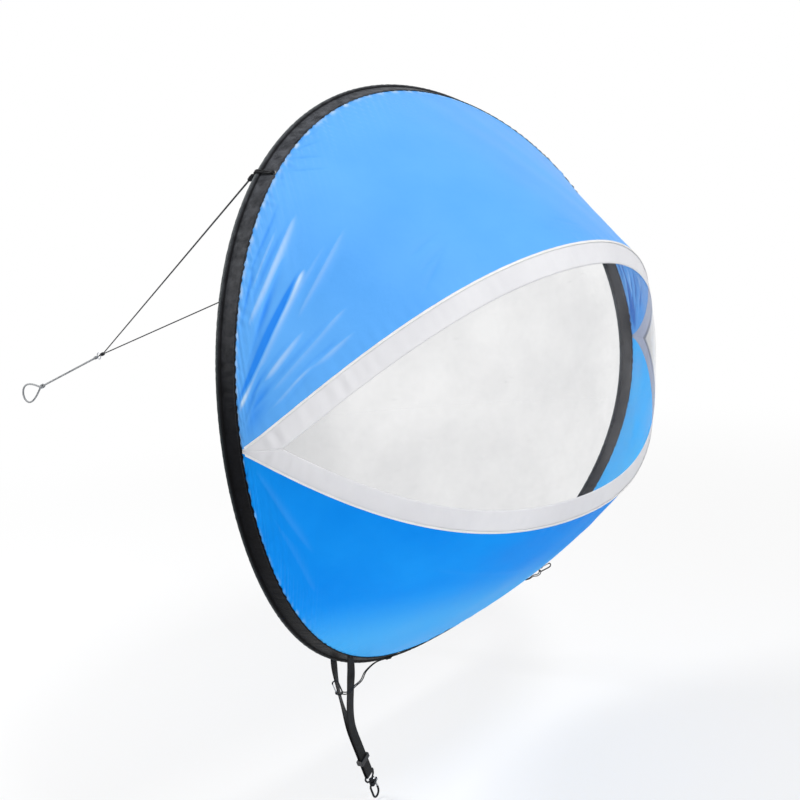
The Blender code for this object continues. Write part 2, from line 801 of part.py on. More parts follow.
def make_bridle(looks):
    """Ring, both lines with their knots, and the rein with its hand loop."""
    along = rein_direction()
    radius = make_ring(looks["steel"])
    front_knot = make_bight_knot("bridle_knot", ring_place() - along * radius, along, LINE_DIAMETER,
                                 BRIDLE_KNOT_LENGTH, BRIDLE_KNOT_SIZE, looks["black_cord"])
    tie_reach = CHANNEL_RADIUS + 2 * GAP + LINE_DIAMETER
    left_tie = on_sleeve(LINE_ANGLE, -tie_reach, 0)
    for side, name in ((1, "left"), (-1, "right")):
        start = Vector((left_tie.x * side, left_tie.y, left_tie.z))
        finish = front_knot - along * GAP * 2 - Vector((side * LINE_DIAMETER * 0.75, 0, 0))
        direction = (finish - start).normalized()
        make_knot(name + "_line_knot", start + direction * (KNOT_LENGTH + LINE_DIAMETER) / 2, direction, KNOT_LENGTH,
                  KNOT_DIAMETER, LINE_DIAMETER, looks["black_cord"])
        tube(name + "_bridle_line", straight(start + direction * GAP * 2, finish, CORD_POINTS), LINE_DIAMETER,
             looks["black_cord"])

    hitch_end = make_bight_knot("rein_hitch", ring_place() + along * radius, -along, REIN_DIAMETER * 0.6,
                                HITCH_LENGTH, HITCH_SIZE, looks["grey_cord"])
    start = hitch_end + along * GAP
    finish = start + along * REIN_LENGTH
    tube("rein_line", straight(start, finish, CORD_POINTS), REIN_DIAMETER, looks["grey_cord"])
    knot_middle = finish + along * (GAP + REIN_KNOT_LENGTH / 2)
    knot = turned("rein_knot", solid_knot_profile(REIN_KNOT_LENGTH, REIN_KNOT_SIZE), looks["grey_cord"], steps=9)
    knot.matrix_world = upright(knot_middle, along)

    # Hand loop: a pear-shaped outline that starts and ends at the knot
    root = knot_middle + along * (GAP + REIN_KNOT_LENGTH / 2 + REIN_DIAMETER / 2)
    up = Vector((0, sin(REIN_FALL), cos(REIN_FALL)))
    loop = []
    for k in range(LOOP_POINTS):
        a = 2 * pi * k / LOOP_POINTS
        loop.append(root + along * REIN_LOOP_LENGTH * (1 - cos(a)) / 2
                    + up * REIN_LOOP_WIDTH * 0.62 * sin(a) * sin(a / 2) ** 1.2)
    tube("rein_loop", loop, REIN_DIAMETER, looks["grey_cord"], cyclic=True, resolution=1)


# Foot: straps, sliders, snap hooks, tethers and clips. The left side is worked out, the right one mirrors it.

def aft(angle):
    """Rotation that leads a foot piece aft, about the line through both straps' tops."""
    return Matrix.Rotation(angle, 3, "X")


def foot_frame(angle):
    """Left hook bar's placement: X along the strap's width, Z up the strap."""
    top = rod_point(STRAP_ANGLE)
    turn = aft(angle)
    bar = top + turn @ Vector((STRAP_LEAN, 0, -STRAP_DROP))
    up = turn @ Vector((-STRAP_END_LEAN, 0, 1)).normalized()
    across = Vector((1, 0, 0))
    across = (across - up * across.dot(up)).normalized()
    across = Matrix.Rotation(radians(FRONT_TWISTS[2]), 3, up) @ across
    return frame(bar, across, up.cross(across), up)


def placed(matrix, side):
    """The same placement on the left (1), or mirrored to the right (-1) and still right-handed."""
    if side > 0:
        return matrix
    flip = Matrix.Scale(-1, 4, Vector((1, 0, 0)))
    return flip @ matrix @ flip


def bezier(start, start_way, end_way, end, share):
    rest = 1 - share
    return (start * rest ** 3 + start_way * 3 * rest ** 2 * share + end_way * 3 * rest * share ** 2
            + end * share ** 3)


def twist_at(twists, share):
    """Smooth run through three twists."""
    a, b, c = twists
    if share < 0.5:
        return a + (b - a) * (1 - cos(2 * pi * share)) / 2
    return b + (c - b) * (1 - cos(2 * pi * (share - 0.5))) / 2


def leg_offset():
    """Middle of a strap's leg from the strap's middle plane, at the slider and round the bar."""
    return EYE_WIRE / 2 + GAP + STRAP_THICKNESS / 2


def strap_leg(start, top_width, bar, leg_side, twists, angle):
    """Points and width directions of one leg, from the sleeve down to the slider's top."""
    up = bar.col[2].to_3d()
    end = bar.translation + up * (SLIDER_RISE + SLIDER_LENGTH / 2) + bar.col[1].to_3d() * leg_side * leg_offset()
    reach = (end - start).length / 3
    down = aft(angle) @ Vector((0, 0, -1))
    rows = []
    for k in range(1, LEG_STEPS + 1):
        share = k / LEG_STEPS
        point = bezier(start, start + down * reach, end + up * reach, end, share)
        flat = Matrix.Rotation(radians(twist_at(twists, share)), 3, up) @ Vector((1, 0, 0))
        fade = min(1.0, share * 4)
        fade = fade * fade * (3 - 2 * fade)
        rows.append((point, top_width.lerp(flat, fade), True))
    return rows


def strap_arch(down):
    """Strap's line in the sleeve's section, from below the slot, through it and round the back."""
    rod, across, outward = section(STRAP_ANGLE)
    slot = SLEEVE_WIDTH - SLOT_INSET
    lie = FLANGE_HALF + STRAP_EASE + STRAP_THICKNESS / 2
    radius = CHANNEL_RADIUS + STRAP_EASE + STRAP_THICKNESS / 2
    swing = atan2(-down.dot(across), down.dot(outward))
    bends = [swing * k / 3 for k in (3, 2, 1, 0)]
    line = [(slot - STRAP_BEND + STRAP_BEND * cos(a), STRAP_BEND * sin(a)) for a in bends]
    bends = [pi / 2 * k / 4 for k in (1, 2, 3, 4)]
    line += [(slot - lie + lie * cos(a), -lie * sin(a)) for a in bends]
    line.append((2 * radius, -lie))
    first = touch_angle(2 * radius, lie, radius)
    last = atan2(-down.dot(across), -down.dot(outward))
    count = max(1, ceil((last - first) / radians(22)))
    bends = [first + (last - first) * k / count for k in range(count + 1)]
    line += [(radius * cos(a), -radius * sin(a)) for a in bends]
    return [rod + across * a + outward * b for a, b in line]


def strap_rows(angle):
    """The whole closed loop of the left strap: point, width direction and whether that is squared to the run."""
    bar = foot_frame(angle)
    along = rod_tangent(STRAP_ANGLE)
    arch = [(point, along, False) for point in strap_arch(aft(angle) @ Vector((0, 0, -1)))]
    front = strap_leg(arch[0][0], along, bar, -1, FRONT_TWISTS, angle)
    back = strap_leg(arch[-1][0], along, bar, 1, BACK_TWISTS, angle)
    middle, up, aside, flat = bar.translation, bar.col[2].to_3d(), bar.col[1].to_3d(), bar.col[0].to_3d()
    below = SLIDER_RISE - SLIDER_LENGTH / 2
    turns = [-pi * k / 6 for k in range(7)]
    under = [(middle + up * below + aside * leg_offset(), flat, True)]
    under += [(middle + (aside * cos(a) + up * sin(a)) * leg_offset(), flat, True) for a in turns]
    under += [(middle + up * below - aside * leg_offset(), flat, True)]
    return arch + back + under + list(reversed(front))


def make_strap(name, angle, side, look, cut_from):
    """Webbing loop: through the slot, over the sleeve's back, down through the slider and round the bar."""
    rows = strap_rows(angle)
    count = len(rows)
    points = []
    for k, (point, width, square) in enumerate(rows):
        run = (rows[(k + 1) % count][0] - rows[k - 1][0]).normalized()
        if square:
            width = (width - run * width.dot(run)).normalized()
        width = width * STRAP_WIDTH / 2
        thick = run.cross(width).normalized() * STRAP_THICKNESS / 2
        points += [point - width - thick, point + width - thick, point + width + thick, point - width + thick]
    faces = []
    for k in range(count):
        a, b = k * 4, (k + 1) % count * 4
        faces += [(a + m, a + (m + 1) % 4, b + (m + 1) % 4, b + m) for m in range(4)]
    if side < 0:
        points = mirrored(points)
    strap = mesh_object(name, points, faces, look)
    round_off(strap)
    slot = box(name + "_slot", (STRAP_WIDTH + 2 * SLOT_PLAY, 2 * (FLANGE_HALF + CUT_OVER),
                                STRAP_THICKNESS + 2 * SLOT_PLAY), collection=CUTTERS)
    slot.matrix_world = placed(section_frame(STRAP_ANGLE, SLEEVE_WIDTH - SLOT_INSET), side)
    hide_cutter(slot)
    for target in cut_from:
        cut(target, slot)
    return strap


def make_slider(name, place, look):
    """Two-slot slider that holds both legs together."""
    slider = box(name, (SLIDER_WIDTH, SLIDER_DEPTH, SLIDER_LENGTH), look)
    slider.matrix_world = place
    bevel = slider.modifiers.new("Bevel", "BEVEL")
    bevel.width = SLIDER_ROUNDING
    bevel.segments = 2
    for sign in (-1, 1):
        slot = box(f"{name}_slot_{sign}", (STRAP_WIDTH + 2 * SLIDER_PLAY, STRAP_THICKNESS + 2 * SLIDER_PLAY,
                                           SLIDER_LENGTH + CUT_OVER), collection=CUTTERS)
        slot.matrix_world = place @ Matrix.Translation((0, sign * leg_offset(), 0))
        hide_cutter(slot)
        cut(slider, slot)
    return slider


def eye_outline():
    """Middle line of the eye's wire: straight bar on top, sides drawn in to the boss."""
    half = EYE_WIDTH / 2
    corner = EYE_WIRE / 2
    right = [(half - corner, 0), (half, -corner), (half, -EYE_HEIGHT * 0.35), (half * 0.8, -EYE_HEIGHT * 0.72),
             (half * 0.4, -EYE_HEIGHT * 0.96), (0, -EYE_HEIGHT)]
    return right + [(-x, z) for x, z in reversed(right[:-1])]


def make_eye(name, place, look):
    """Swivel eye: wire loop with a boss, a stem and a head that keeps it in the hook."""
    wire = tube(name, [Vector((x, 0, z)) for x, z in eye_outline()], EYE_WIRE, cyclic=True)
    eye = solid_from_curve(wire)
    eye.data.materials.append(look)
    eye.matrix_world = place
    boss_top = -EYE_HEIGHT + EYE_WIRE * 0.3
    boss_end = -EYE_HEIGHT - BOSS_LENGTH
    stem_end = boss_end - GAP - HOOK_BASE_LENGTH - GAP
    head_end = stem_end - STEM_HEAD_LENGTH
    profile = [(0, boss_top), (BOSS_DIAMETER / 2, boss_top), (BOSS_DIAMETER / 2, boss_end),
               (STEM_DIAMETER / 2, boss_end), (STEM_DIAMETER / 2, stem_end), (STEM_HEAD_DIAMETER / 2, stem_end),
               (STEM_HEAD_DIAMETER / 2, head_end), (0, head_end)]
    stem = turned(name + "_stem", profile, steps=12, collection=CUTTERS)
    stem.matrix_world = place
    hide_cutter(stem)
    cut(eye, stem, "UNION")
    return eye


def base_top():
    return -EYE_HEIGHT - BOSS_LENGTH - GAP


def gate_pivot():
    """Gate pin's place in the hook's own XZ plane."""
    return HOOK_WIDTH / 2, base_top() - HOOK_BASE_LENGTH + LUG_LENGTH / 2


def bend_middle():
    return base_top() - HOOK_BASE_LENGTH / 2 - HOOK_LENGTH


def hook_outline():
    """Middle line of the hook: from the base out and down, round the bend and up to the tip."""
    half = HOOK_WIDTH / 2
    start = base_top() - HOOK_BASE_LENGTH / 2
    low = bend_middle()
    shoulder = [(-half * 0.3, start), (-half * 0.75, start - HOOK_WIRE * 0.25), (-half, start - HOOK_WIRE)]
    bend = [pi + pi * k / 8 for k in range(9)]
    return shoulder + [(half * cos(a), low + half * sin(a)) for a in bend] + [(half, low + HOOK_TIP)]


def make_hook(name, place, look):
    """Snap hook body: bored base for the swivel stem, two lugs for the gate, and the bent hook."""
    wire = tube(name, [Vector((x, 0, z)) for x, z in hook_outline()], HOOK_WIRE)
    hook = solid_from_curve(wire)
    hook.data.materials.append(look)
    hook.matrix_world = place
    middle = base_top() - HOOK_BASE_LENGTH / 2
    base = cylinder(name + "_base", HOOK_BASE_DIAMETER, HOOK_BASE_LENGTH, collection=CUTTERS)
    base.matrix_world = place @ Matrix.Translation((0, 0, middle))
    pin_x, pin_z = gate_pivot()
    gap_half = GATE_EYE * EYE_WIDTH_SHARE / 2 + GAP
    lug_reach = pin_x + LUG_LENGTH / 2
    pieces = [(base, "UNION")]
    for sign in (-1, 1):
        lug = box(f"{name}_lug_{sign}", (lug_reach, LUG_THICKNESS, LUG_LENGTH), collection=CUTTERS)
        lug.matrix_world = place @ Matrix.Translation((lug_reach / 2, sign * (gap_half + LUG_THICKNESS / 2), pin_z))
        pieces.append((lug, "UNION"))
    bore = cylinder(name + "_bore", STEM_DIAMETER + 4 * GAP, HOOK_BASE_LENGTH + 2 * CUT_OVER,
                    collection=CUTTERS)
    bore.matrix_world = place @ Matrix.Translation((0, 0, middle))
    hole = cylinder(name + "_pin_hole", PIN_DIAMETER + 2 * GAP, HOOK_WIDTH, sides=12, collection=CUTTERS)
    hole.matrix_world = place @ Matrix.Translation((pin_x, 0, pin_z)) @ Matrix.Rotation(pi / 2, 4, "X")
    pieces += [(bore, "DIFFERENCE"), (hole, "DIFFERENCE")]
    for piece, operation in pieces:
        hide_cutter(piece)
        cut(hook, piece, operation)
    return hook


def make_pin(name, place, look):
    """Rivet through the lugs and the gate."""
    pin_x, pin_z = gate_pivot()
    half = GATE_EYE * EYE_WIDTH_SHARE / 2 + GAP + LUG_THICKNESS + GAP
    profile = [(0, half + PIN_HEAD_LENGTH), (PIN_HEAD / 2, half + PIN_HEAD_LENGTH), (PIN_HEAD / 2, half),
               (PIN_DIAMETER / 2, half), (PIN_DIAMETER / 2, -half), (PIN_HEAD / 2, -half),
               (PIN_HEAD / 2, -half - PIN_HEAD_LENGTH), (0, -half - PIN_HEAD_LENGTH)]
    pin = turned(name, profile, look, steps=12)
    pin.matrix_world = place @ Matrix.Translation((pin_x, 0, pin_z)) @ Matrix.Rotation(pi / 2, 4, "X")
    return pin


def make_gate(name, place, reach, wire, eye_size, hole_size, look):
    """Gate: an eye round its pin and an arm down to the tip that it shuts on; its origin is on the pin."""
    arm = tube(name, [Vector((0, 0, -eye_size * 0.35)), Vector((0, 0, -reach))], wire)
    gate = solid_from_curve(arm)
    gate.data.materials.append(look)
    gate.matrix_world = place
    eye = cylinder(name + "_eye", eye_size, eye_size * EYE_WIDTH_SHARE, sides=16, collection=CUTTERS)
    hole = cylinder(name + "_hole", hole_size, eye_size + CUT_OVER, sides=12, collection=CUTTERS)
    for piece, operation in ((eye, "UNION"), (hole, "DIFFERENCE")):
        piece.matrix_world = place @ Matrix.Rotation(pi / 2, 4, "X")
        hide_cutter(piece)
        cut(gate, piece, operation)
    return gate


def clip_frame(angle):
    """Left clip's placement, led aft with the strap."""
    top = rod_point(STRAP_ANGLE)
    turn = aft(angle)
    facing = turn @ Matrix.Rotation(CLIP_TILT, 3, "Y") @ Matrix.Rotation(CLIP_FACING, 3, "Z")
    return frame(top + turn @ Vector(CLIP_OFFSET), facing.col[0], facing.col[1], facing.col[2])


def clip_half():
    return CLIP_WIDTH / 2 - CLIP_WIRE / 2


def clip_straight():
    """Half length of the clip's straight side."""
    return CLIP_LENGTH / 2 - CLIP_WIRE / 2 - clip_half()


def clip_hinge(side):
    """Gate pin's place in the clip's own frame."""
    return Vector((side * clip_half(), 0, CLIP_SEAT - clip_straight()))


def make_clip(name, place, side, look):
    """Wire clip, open on one side, with a yoke and a fixed pin for its gate."""
    half, reach = clip_half(), clip_straight()
    turns = [pi * k / 8 for k in range(9)]
    outline = [(half * cos(a), reach + half * sin(a)) for a in turns]
    outline += [(-x, -z) for x, z in outline]
    wire = tube(name, [Vector((side * x, 0, z)) for x, z in outline], CLIP_WIRE)
    clip = solid_from_curve(wire)
    clip.data.materials.append(look)
    clip.matrix_world = place
    room = CLIP_GATE_EYE / 2 + GAP
    cheek = CLIP_GATE_EYE * EYE_WIDTH_SHARE / 2 + GAP
    low = CLIP_SEAT + CLIP_WIRE / 3
    hinge = place @ Matrix.Translation(clip_hinge(side))
    yoke = box(name + "_yoke", (CLIP_WIRE + CLIP_LUG, 2 * (cheek + CLIP_LUG), low + room - GAP), collection=CUTTERS)
    yoke.matrix_world = hinge @ Matrix.Translation((0, 0, (room - GAP - low) / 2))
    slot = box(name + "_slot", (2 * CLIP_WIRE, 2 * cheek, room + CUT_OVER), collection=CUTTERS)
    slot.matrix_world = hinge @ Matrix.Translation((0, 0, (CUT_OVER - room) / 2))
    pin = cylinder(name + "_pin", CLIP_PIN, 2 * cheek + CLIP_LUG, sides=12, collection=CUTTERS)
    pin.matrix_world = hinge @ Matrix.Rotation(pi / 2, 4, "X")
    for piece, operation in ((yoke, "UNION"), (slot, "DIFFERENCE"), (pin, "UNION")):
        hide_cutter(piece)
        cut(clip, piece, operation)
    return clip


def make_tether(name, angle, side, look):
    """Knot beside the tie and the doubled cord, one hairpin round the clip's wire."""
    top = rod_point(STRAP_ANGLE)
    run = rod_tangent(TETHER_ANGLE)
    lie = FLANGE_HALF + 2 * GAP + TETHER_KNOT_DIAMETER / 2
    start = on_sleeve(TETHER_ANGLE, CHANNEL_RADIUS * 2, lie) - run * (TETHER_DIAMETER / 2 + GAP)
    route = []
    for k, (way_share, offset) in enumerate(zip(TETHER_SHARES, TETHER_OFFSETS)):
        place = start.lerp(top + Vector(CLIP_OFFSET), way_share) + Vector(offset)
        share = min(1.0, k / (len(TETHER_SHARES) - 1) * TETHER_SWING_SHARE)
        route.append(top + aft(angle * share) @ (place - top))
    way = (route[0] - start).normalized()
    knot = make_knot(name + "_knot", start + way * TETHER_KNOT_LENGTH / 2, way, TETHER_KNOT_LENGTH,
                     TETHER_KNOT_DIAMETER, 0, look)
    clip = clip_frame(angle)
    reach, half = clip_straight(), clip_half()
    wire = Vector((half * cos(TETHER_TURN), 0, -reach + half * sin(TETHER_TURN)))
    inward = -Vector((cos(TETHER_TURN), 0, sin(TETHER_TURN)))
    bend = CLIP_WIRE / 2 + GAP + TETHER_DIAMETER / 2
    turns = [-pi / 2 + pi * k / 6 for k in range(7)]
    hairpin = [clip @ (wire + (inward * cos(a) + Vector((0, 1, 0)) * sin(a)) * bend) for a in turns]
    out = clip @ (wire - inward * CLIP_WIRE * 1.5)
    middle = smooth_run([start + way * (TETHER_KNOT_LENGTH + 3 * GAP)] + route + [out], TETHER_POINTS)
    apart = (on_sleeve(TETHER_ANGLE, CHANNEL_RADIUS * 2, 0) - rod_point(TETHER_ANGLE)).normalized()
    spread = clip.to_3x3() @ Vector((0, 1, 0))
    if apart.dot(spread) < 0:      # the strands would change sides and pass through each other
        apart.negate()
    strands = [[], []]
    for k, p in enumerate(middle):
        share = k / (TETHER_POINTS - 1)
        along = clip.to_3x3() @ inward
        if k < TETHER_POINTS - 1:
            along = (middle[k + 1] - middle[max(k - 1, 0)]).normalized()
        across = apart.lerp(spread, share)
        across = (across - along * across.dot(along)).normalized()
        open_share = share ** 4    # side by side, and apart only at the clip
        across *= (TETHER_DIAMETER + TETHER_PLAY) / 2 * (1 - open_share) + bend * open_share
        strands[0].append(p - across)
        strands[1].append(p + across)
    points = strands[0] + hairpin + list(reversed(strands[1]))
    if side < 0:
        points = mirrored(points)
        knot.matrix_world = placed(knot.matrix_world, side)
    tube(name, points, TETHER_DIAMETER, look, resolution=1)


def make_foot(name, side, angle, looks, cut_from):
    """One foot strap with its slider and snap hook, and the tether with its clip."""
    make_strap(name + "_foot_strap", angle, side, looks["webbing"], cut_from)
    place = placed(foot_frame(angle), side)
    slider = make_slider(name + "_strap_slider", place @ Matrix.Translation((0, 0, SLIDER_RISE)), looks["plastic"])
    eye = make_eye(name + "_hook_eye", place, looks["black_steel"])
    hook = make_hook(name + "_hook", place, looks["black_steel"])
    pin = make_pin(name + "_hook_pin", place, looks["steel"])
    pin_x, pin_z = gate_pivot()
    gate = make_gate(name + "_hook_gate", place @ Matrix.Translation((pin_x, 0, pin_z)),
                     pin_z - bend_middle() - HOOK_TIP - GAP, GATE_WIRE, GATE_EYE, PIN_DIAMETER + 2 * GAP,
                     looks["steel"])
    make_tether(name + "_tether", angle, side, looks["black_cord"])
    clip_place = placed(clip_frame(angle), side)
    clip = make_clip(name + "_clip", clip_place, side, looks["black_steel"])
    hinge = clip_place @ Matrix.Translation(clip_hinge(side)) @ Matrix.Rotation(pi, 4, "X")
    clip_gate = make_gate(name + "_clip_gate", hinge, 2 * clip_straight() - CLIP_SEAT - GAP, CLIP_GATE_WIRE,
                          CLIP_GATE_EYE, CLIP_PIN + 2 * GAP, looks["steel"])
    top = rod_point(STRAP_ANGLE)
    swing = pivot(name + "_foot_pivot", Matrix.Translation((side * top.x, top.y, top.z)))
    for piece in (slider, eye, hook, pin, gate, clip, clip_gate):
        hang(piece, swing)


def main():
    empty_scene()
    looks = {
        "rod": material("fibreglass", (0.72, 0.70, 0.60), 0.4),
        "aluminium": material("aluminium", (0.75, 0.76, 0.78), 0.35, 1.0),
        "sleeve": material("black_satin", (0.012, 0.012, 0.016), 0.55),
        "light_blue": material("light_blue_ripstop", (0.14, 0.47, 1.0), 0.4),
        "blue": material("blue_ripstop", (0.02, 0.28, 1.0), 0.4),
        "white": material("white_ripstop", (0.80, 0.80, 0.80), 0.5),
        "pane": material("clear_sheet", (0.85, 0.87, 0.88), 0.1, alpha=0.25),
        "tape": material("white_tape", (0.92, 0.92, 0.90), 0.6),
        "black_cord": material("black_cord", (0.015, 0.015, 0.017), 0.7),
        "grey_cord": material("grey_cord", (0.42, 0.43, 0.44), 0.7),
        "webbing": material("black_webbing", (0.010, 0.010, 0.012), 0.7),
        "plastic": material("black_plastic", (0.02, 0.02, 0.022), 0.4),
        "steel": material("steel", (0.62, 0.62, 0.64), 0.3, 1.0),
        "black_steel": material("blackened_steel", (0.05, 0.05, 0.055), 0.35, 1.0),
    }
    make_rod(looks["rod"])
    make_ferrule(looks["aluminium"])
    sleeve = make_sleeve(looks["sleeve"])
    upper = make_panel("upper_panel", 1, looks["light_blue"])
    lower = make_panel("lower_panel", -1, looks["blue"])
    make_border(looks["white"])
    make_pane(looks["pane"])
    make_tape("upper_seam_tape", 1, looks["tape"])
    make_tape("lower_seam_tape", -1, looks["tape"])
    for name, turn in (("left", LINE_ANGLE), ("right", pi - LINE_ANGLE)):
        make_eyelet(name + "_eyelet", turn, looks["steel"], (sleeve, upper))
        make_tie(name + "_line_tie", turn, LINE_DIAMETER, looks["black_cord"])
    for name, turn in (("left", TETHER_ANGLE), ("right", 3 * pi - TETHER_ANGLE)):
        make_eyelet(name + "_tether_eyelet", turn, looks["steel"], (sleeve, lower))
        make_tie(name + "_tether_tie", turn, TETHER_DIAMETER, looks["black_cord"])
    make_bridle(looks)
    for name, side, angle in (("left", 1, 0), ("right", -1, RIGHT_AFT)):
        make_foot(name, side, angle, looks, (sleeve, lower))
    bpy.context.view_layer.update()


main()
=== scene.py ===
# %% [markdown]
# # A pop-up canoe sail
# The sail is a springy hoop in a cloth sleeve. Two blue cloths and a clear window make a shallow bowl inside it. This
# file dresses the imported model: it loads it as a fixed frame, then makes each cloth and cord, and the ring, finer in
# the same place, and gives the other fittings their finish. Everything is in metres, and Z points up.

from math import acos, atan2, ceil, cos, hypot, pi, radians, sin

import bmesh
import bpy
import numpy as np
from mathutils import Matrix, Vector


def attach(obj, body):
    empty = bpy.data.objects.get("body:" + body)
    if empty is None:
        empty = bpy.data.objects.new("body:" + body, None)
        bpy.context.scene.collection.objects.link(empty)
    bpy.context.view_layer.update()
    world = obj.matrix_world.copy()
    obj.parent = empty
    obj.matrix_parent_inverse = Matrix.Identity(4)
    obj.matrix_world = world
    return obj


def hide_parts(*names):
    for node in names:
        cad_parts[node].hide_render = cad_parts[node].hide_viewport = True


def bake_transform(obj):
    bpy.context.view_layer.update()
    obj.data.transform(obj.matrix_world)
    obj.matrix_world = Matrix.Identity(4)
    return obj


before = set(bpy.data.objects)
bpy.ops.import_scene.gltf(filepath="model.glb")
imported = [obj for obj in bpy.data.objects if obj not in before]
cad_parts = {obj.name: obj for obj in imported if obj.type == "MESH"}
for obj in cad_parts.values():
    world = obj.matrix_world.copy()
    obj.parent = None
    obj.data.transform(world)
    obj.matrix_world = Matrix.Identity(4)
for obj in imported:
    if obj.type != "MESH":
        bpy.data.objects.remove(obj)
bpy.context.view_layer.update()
bpy.ops.object.select_all(action="DESELECT")

# %% [markdown]
# ## Camera
# The camera stands ahead of the sail and to its left, a little higher than the hoop's middle. It could be aimed by eye,
# but its place was worked out from the picture, so its three directions are written as a matrix. The lens looks at a
# point a little beside the picture's middle, and the two shifts make that up.

# %% Camera
PICTURE, LENS_POINT = 800, (439.5, 378.8)     # in pixels
CAMERA_PLACE = (-1.3531, -1.319, 0.8872)
AZIMUTH, ELEVATION, ROLL = radians(-47.31), radians(10.68), radians(-4.32)
ahead = Vector((-sin(AZIMUTH) * cos(ELEVATION), cos(AZIMUTH) * cos(ELEVATION), -sin(ELEVATION)))
level = Vector((cos(AZIMUTH), sin(AZIMUTH), 0))
upright = level.cross(ahead)
side_way = level * cos(ROLL) + upright * sin(ROLL)
up_way = upright * cos(ROLL) - level * sin(ROLL)

camera = bpy.data.objects.new("camera", bpy.data.cameras.new("camera"))
bpy.context.scene.collection.objects.link(camera)
camera.matrix_world = Matrix.Translation(CAMERA_PLACE) @ Matrix((side_way, up_way, -ahead)).transposed().to_4x4()
camera.data.sensor_width = 36
camera.data.lens = 45
camera.data.shift_x = (PICTURE / 2 - LENS_POINT[0]) / PICTURE
camera.data.shift_y = (LENS_POINT[1] - PICTURE / 2) / PICTURE
camera.data.clip_end = 50
bpy.context.scene.camera = camera
print("camera lens", camera.data.lens, "mm")

# %% [markdown]
# ## Helpers for every material
# A colour is written as on a paint card, in sRGB hex, but light is added up in linear numbers, so one function turns it
# over. Nodes could be wired by hand in the editor. Here one small function adds a node, sets it and links it in one
# line, so a whole finish can be read from top to bottom.

# %% Material helpers
SETTINGS = {"Math": "operation", "VectorMath": "operation", "MapRange": "interpolation_type", "Mix": "data_type",
            "Attribute": "attribute_name"}


def linear(code):
    """sRGB hex code as linear colour."""
    parts = [int(code[i:i + 2], 16) / 255 for i in (0, 2, 4)]
    return (*[p / 12.92 if p <= 0.04045 else ((p + 0.055) / 1.055) ** 2.4 for p in parts], 1.0)


def fill(owner, node, **inputs):
    """Fill inputs by name, or by number as in_2. A node or a socket is linked, and a number or colour is set."""
    for name, value in inputs.items():
        named = (socket for socket in node.inputs if socket.name.lower() == name.replace("_", " "))
        socket = node.inputs[int(name[3:])] if name.startswith("in_") else next(named)
        if isinstance(value, bpy.types.Node):
            value = next(output for output in value.outputs if output.enabled)
        if isinstance(value, bpy.types.NodeSocket):
            owner.node_tree.links.new(value, socket)
        else:
            socket.default_value = value


def add_node(owner, kind, setting=None, stops=(), **inputs):
    """Add a node to a material or world, with its main setting, a ramp's two (place, hex) stops, and its inputs."""
    node = owner.node_tree.nodes.new("ShaderNode" + kind)
    if setting:
        setattr(node, SETTINGS[kind], setting)
    if stops:
        for element, (place, code) in zip(node.color_ramp.elements, stops):
            element.position, element.color = place, linear(code)
    fill(owner, node, **inputs)
    return node


def new_material(name, **constants):
    """A material with its own Principled shader, whose plain numbers are set here."""
    material = bpy.data.materials.new(name)
    material.use_nodes = True
    shader = material.node_tree.nodes["Principled BSDF"]
    fill(material, shader, **constants)
    return material, shader


print("a mid grey, 808080, is", round(linear("808080")[0], 3), "in linear numbers")

# %% [markdown]
# ## Studio
# The real picture is taken outside under a bright even sky. A pale floor, a white world that only the camera, mirrors
# and the clear window see, and three large soft lamps give the same calm light with one bright side. A bright sky alone
# would do too, but it lights every side alike and hides the folds.

# %% Studio
FLOOR_LEVEL = -0.2135            # just under the hooks


def seen_directly(owner):
    """1 for what the camera, a mirror or the clear window sees, and 0 for the light that falls on the sail."""
    rays = add_node(owner, "LightPath").outputs
    seen = add_node(owner, "Math", "MAXIMUM", in_0=rays["Is Camera Ray"], in_1=rays["Is Glossy Ray"])
    return add_node(owner, "Math", "MAXIMUM", in_0=seen, in_1=rays["Is Transmission Ray"])


# The floor is drawn nearly white to the eye, and more so far away, but keeps the sail's shadow near by.
floor_material, floor_shader = new_material("matt_white_floor", base_color=linear("F4F4F4"), roughness=0.9)
floor_places = add_node(floor_material, "TexCoord").outputs["Object"]
far = add_node(floor_material, "VectorMath", "LENGTH", in_0=floor_places)
fade = add_node(floor_material, "MapRange", "SMOOTHSTEP", in_0=far, in_1=0.6, in_2=3.2, in_3=0.66, in_4=1.0)
share = add_node(floor_material, "Math", "MULTIPLY", in_0=seen_directly(floor_material), in_1=fade)
glow = add_node(floor_material, "Emission", color=linear("FFFFFF"), strength=1.0)
pale = add_node(floor_material, "MixShader", in_0=share, in_1=floor_shader, in_2=glow)
fill(floor_material, floor_material.node_tree.nodes["Material Output"], surface=pale)
bpy.ops.mesh.primitive_plane_add(size=24, location=(0, 0, FLOOR_LEVEL))
floor = bpy.context.object
floor.name = "floor"
floor.data.materials.append(floor_material)

world = bpy.data.worlds.new("pale_sky")
bpy.context.scene.world = world
world.use_nodes = True
strength = add_node(world, "MapRange", in_0=seen_directly(world), in_3=0.34, in_4=1.0)
fill(world, world.node_tree.nodes["Background"], color=linear("FFFFFF"), strength=strength)


def soft_lamp(name, place, target, size, power):
    """A large square area lamp that faces a point."""
    data = bpy.data.lights.new(name, "AREA")
    data.size, data.energy = size, power
    lamp = bpy.data.objects.new(name, data)
    bpy.context.scene.collection.objects.link(lamp)
    lamp.location = place
    lamp.rotation_euler = (Vector(target) - Vector(place)).to_track_quat("-Z", "Y").to_euler()


soft_lamp("key_lamp", (0.1, -2.3, 3.7), (0, -0.2, 0.6), 0.8, 78)
soft_lamp("fill_lamp", (-2.0, -3.0, 0.4), (0, -0.2, 0.4), 2.4, 29)
soft_lamp("back_lamp", (-1.3, 2.2, 2.6), (0.3, 0, 0.5), 1.4, 84)
bpy.context.scene.view_settings.view_transform = "Standard"
print("studio: floor, world and three lamps")

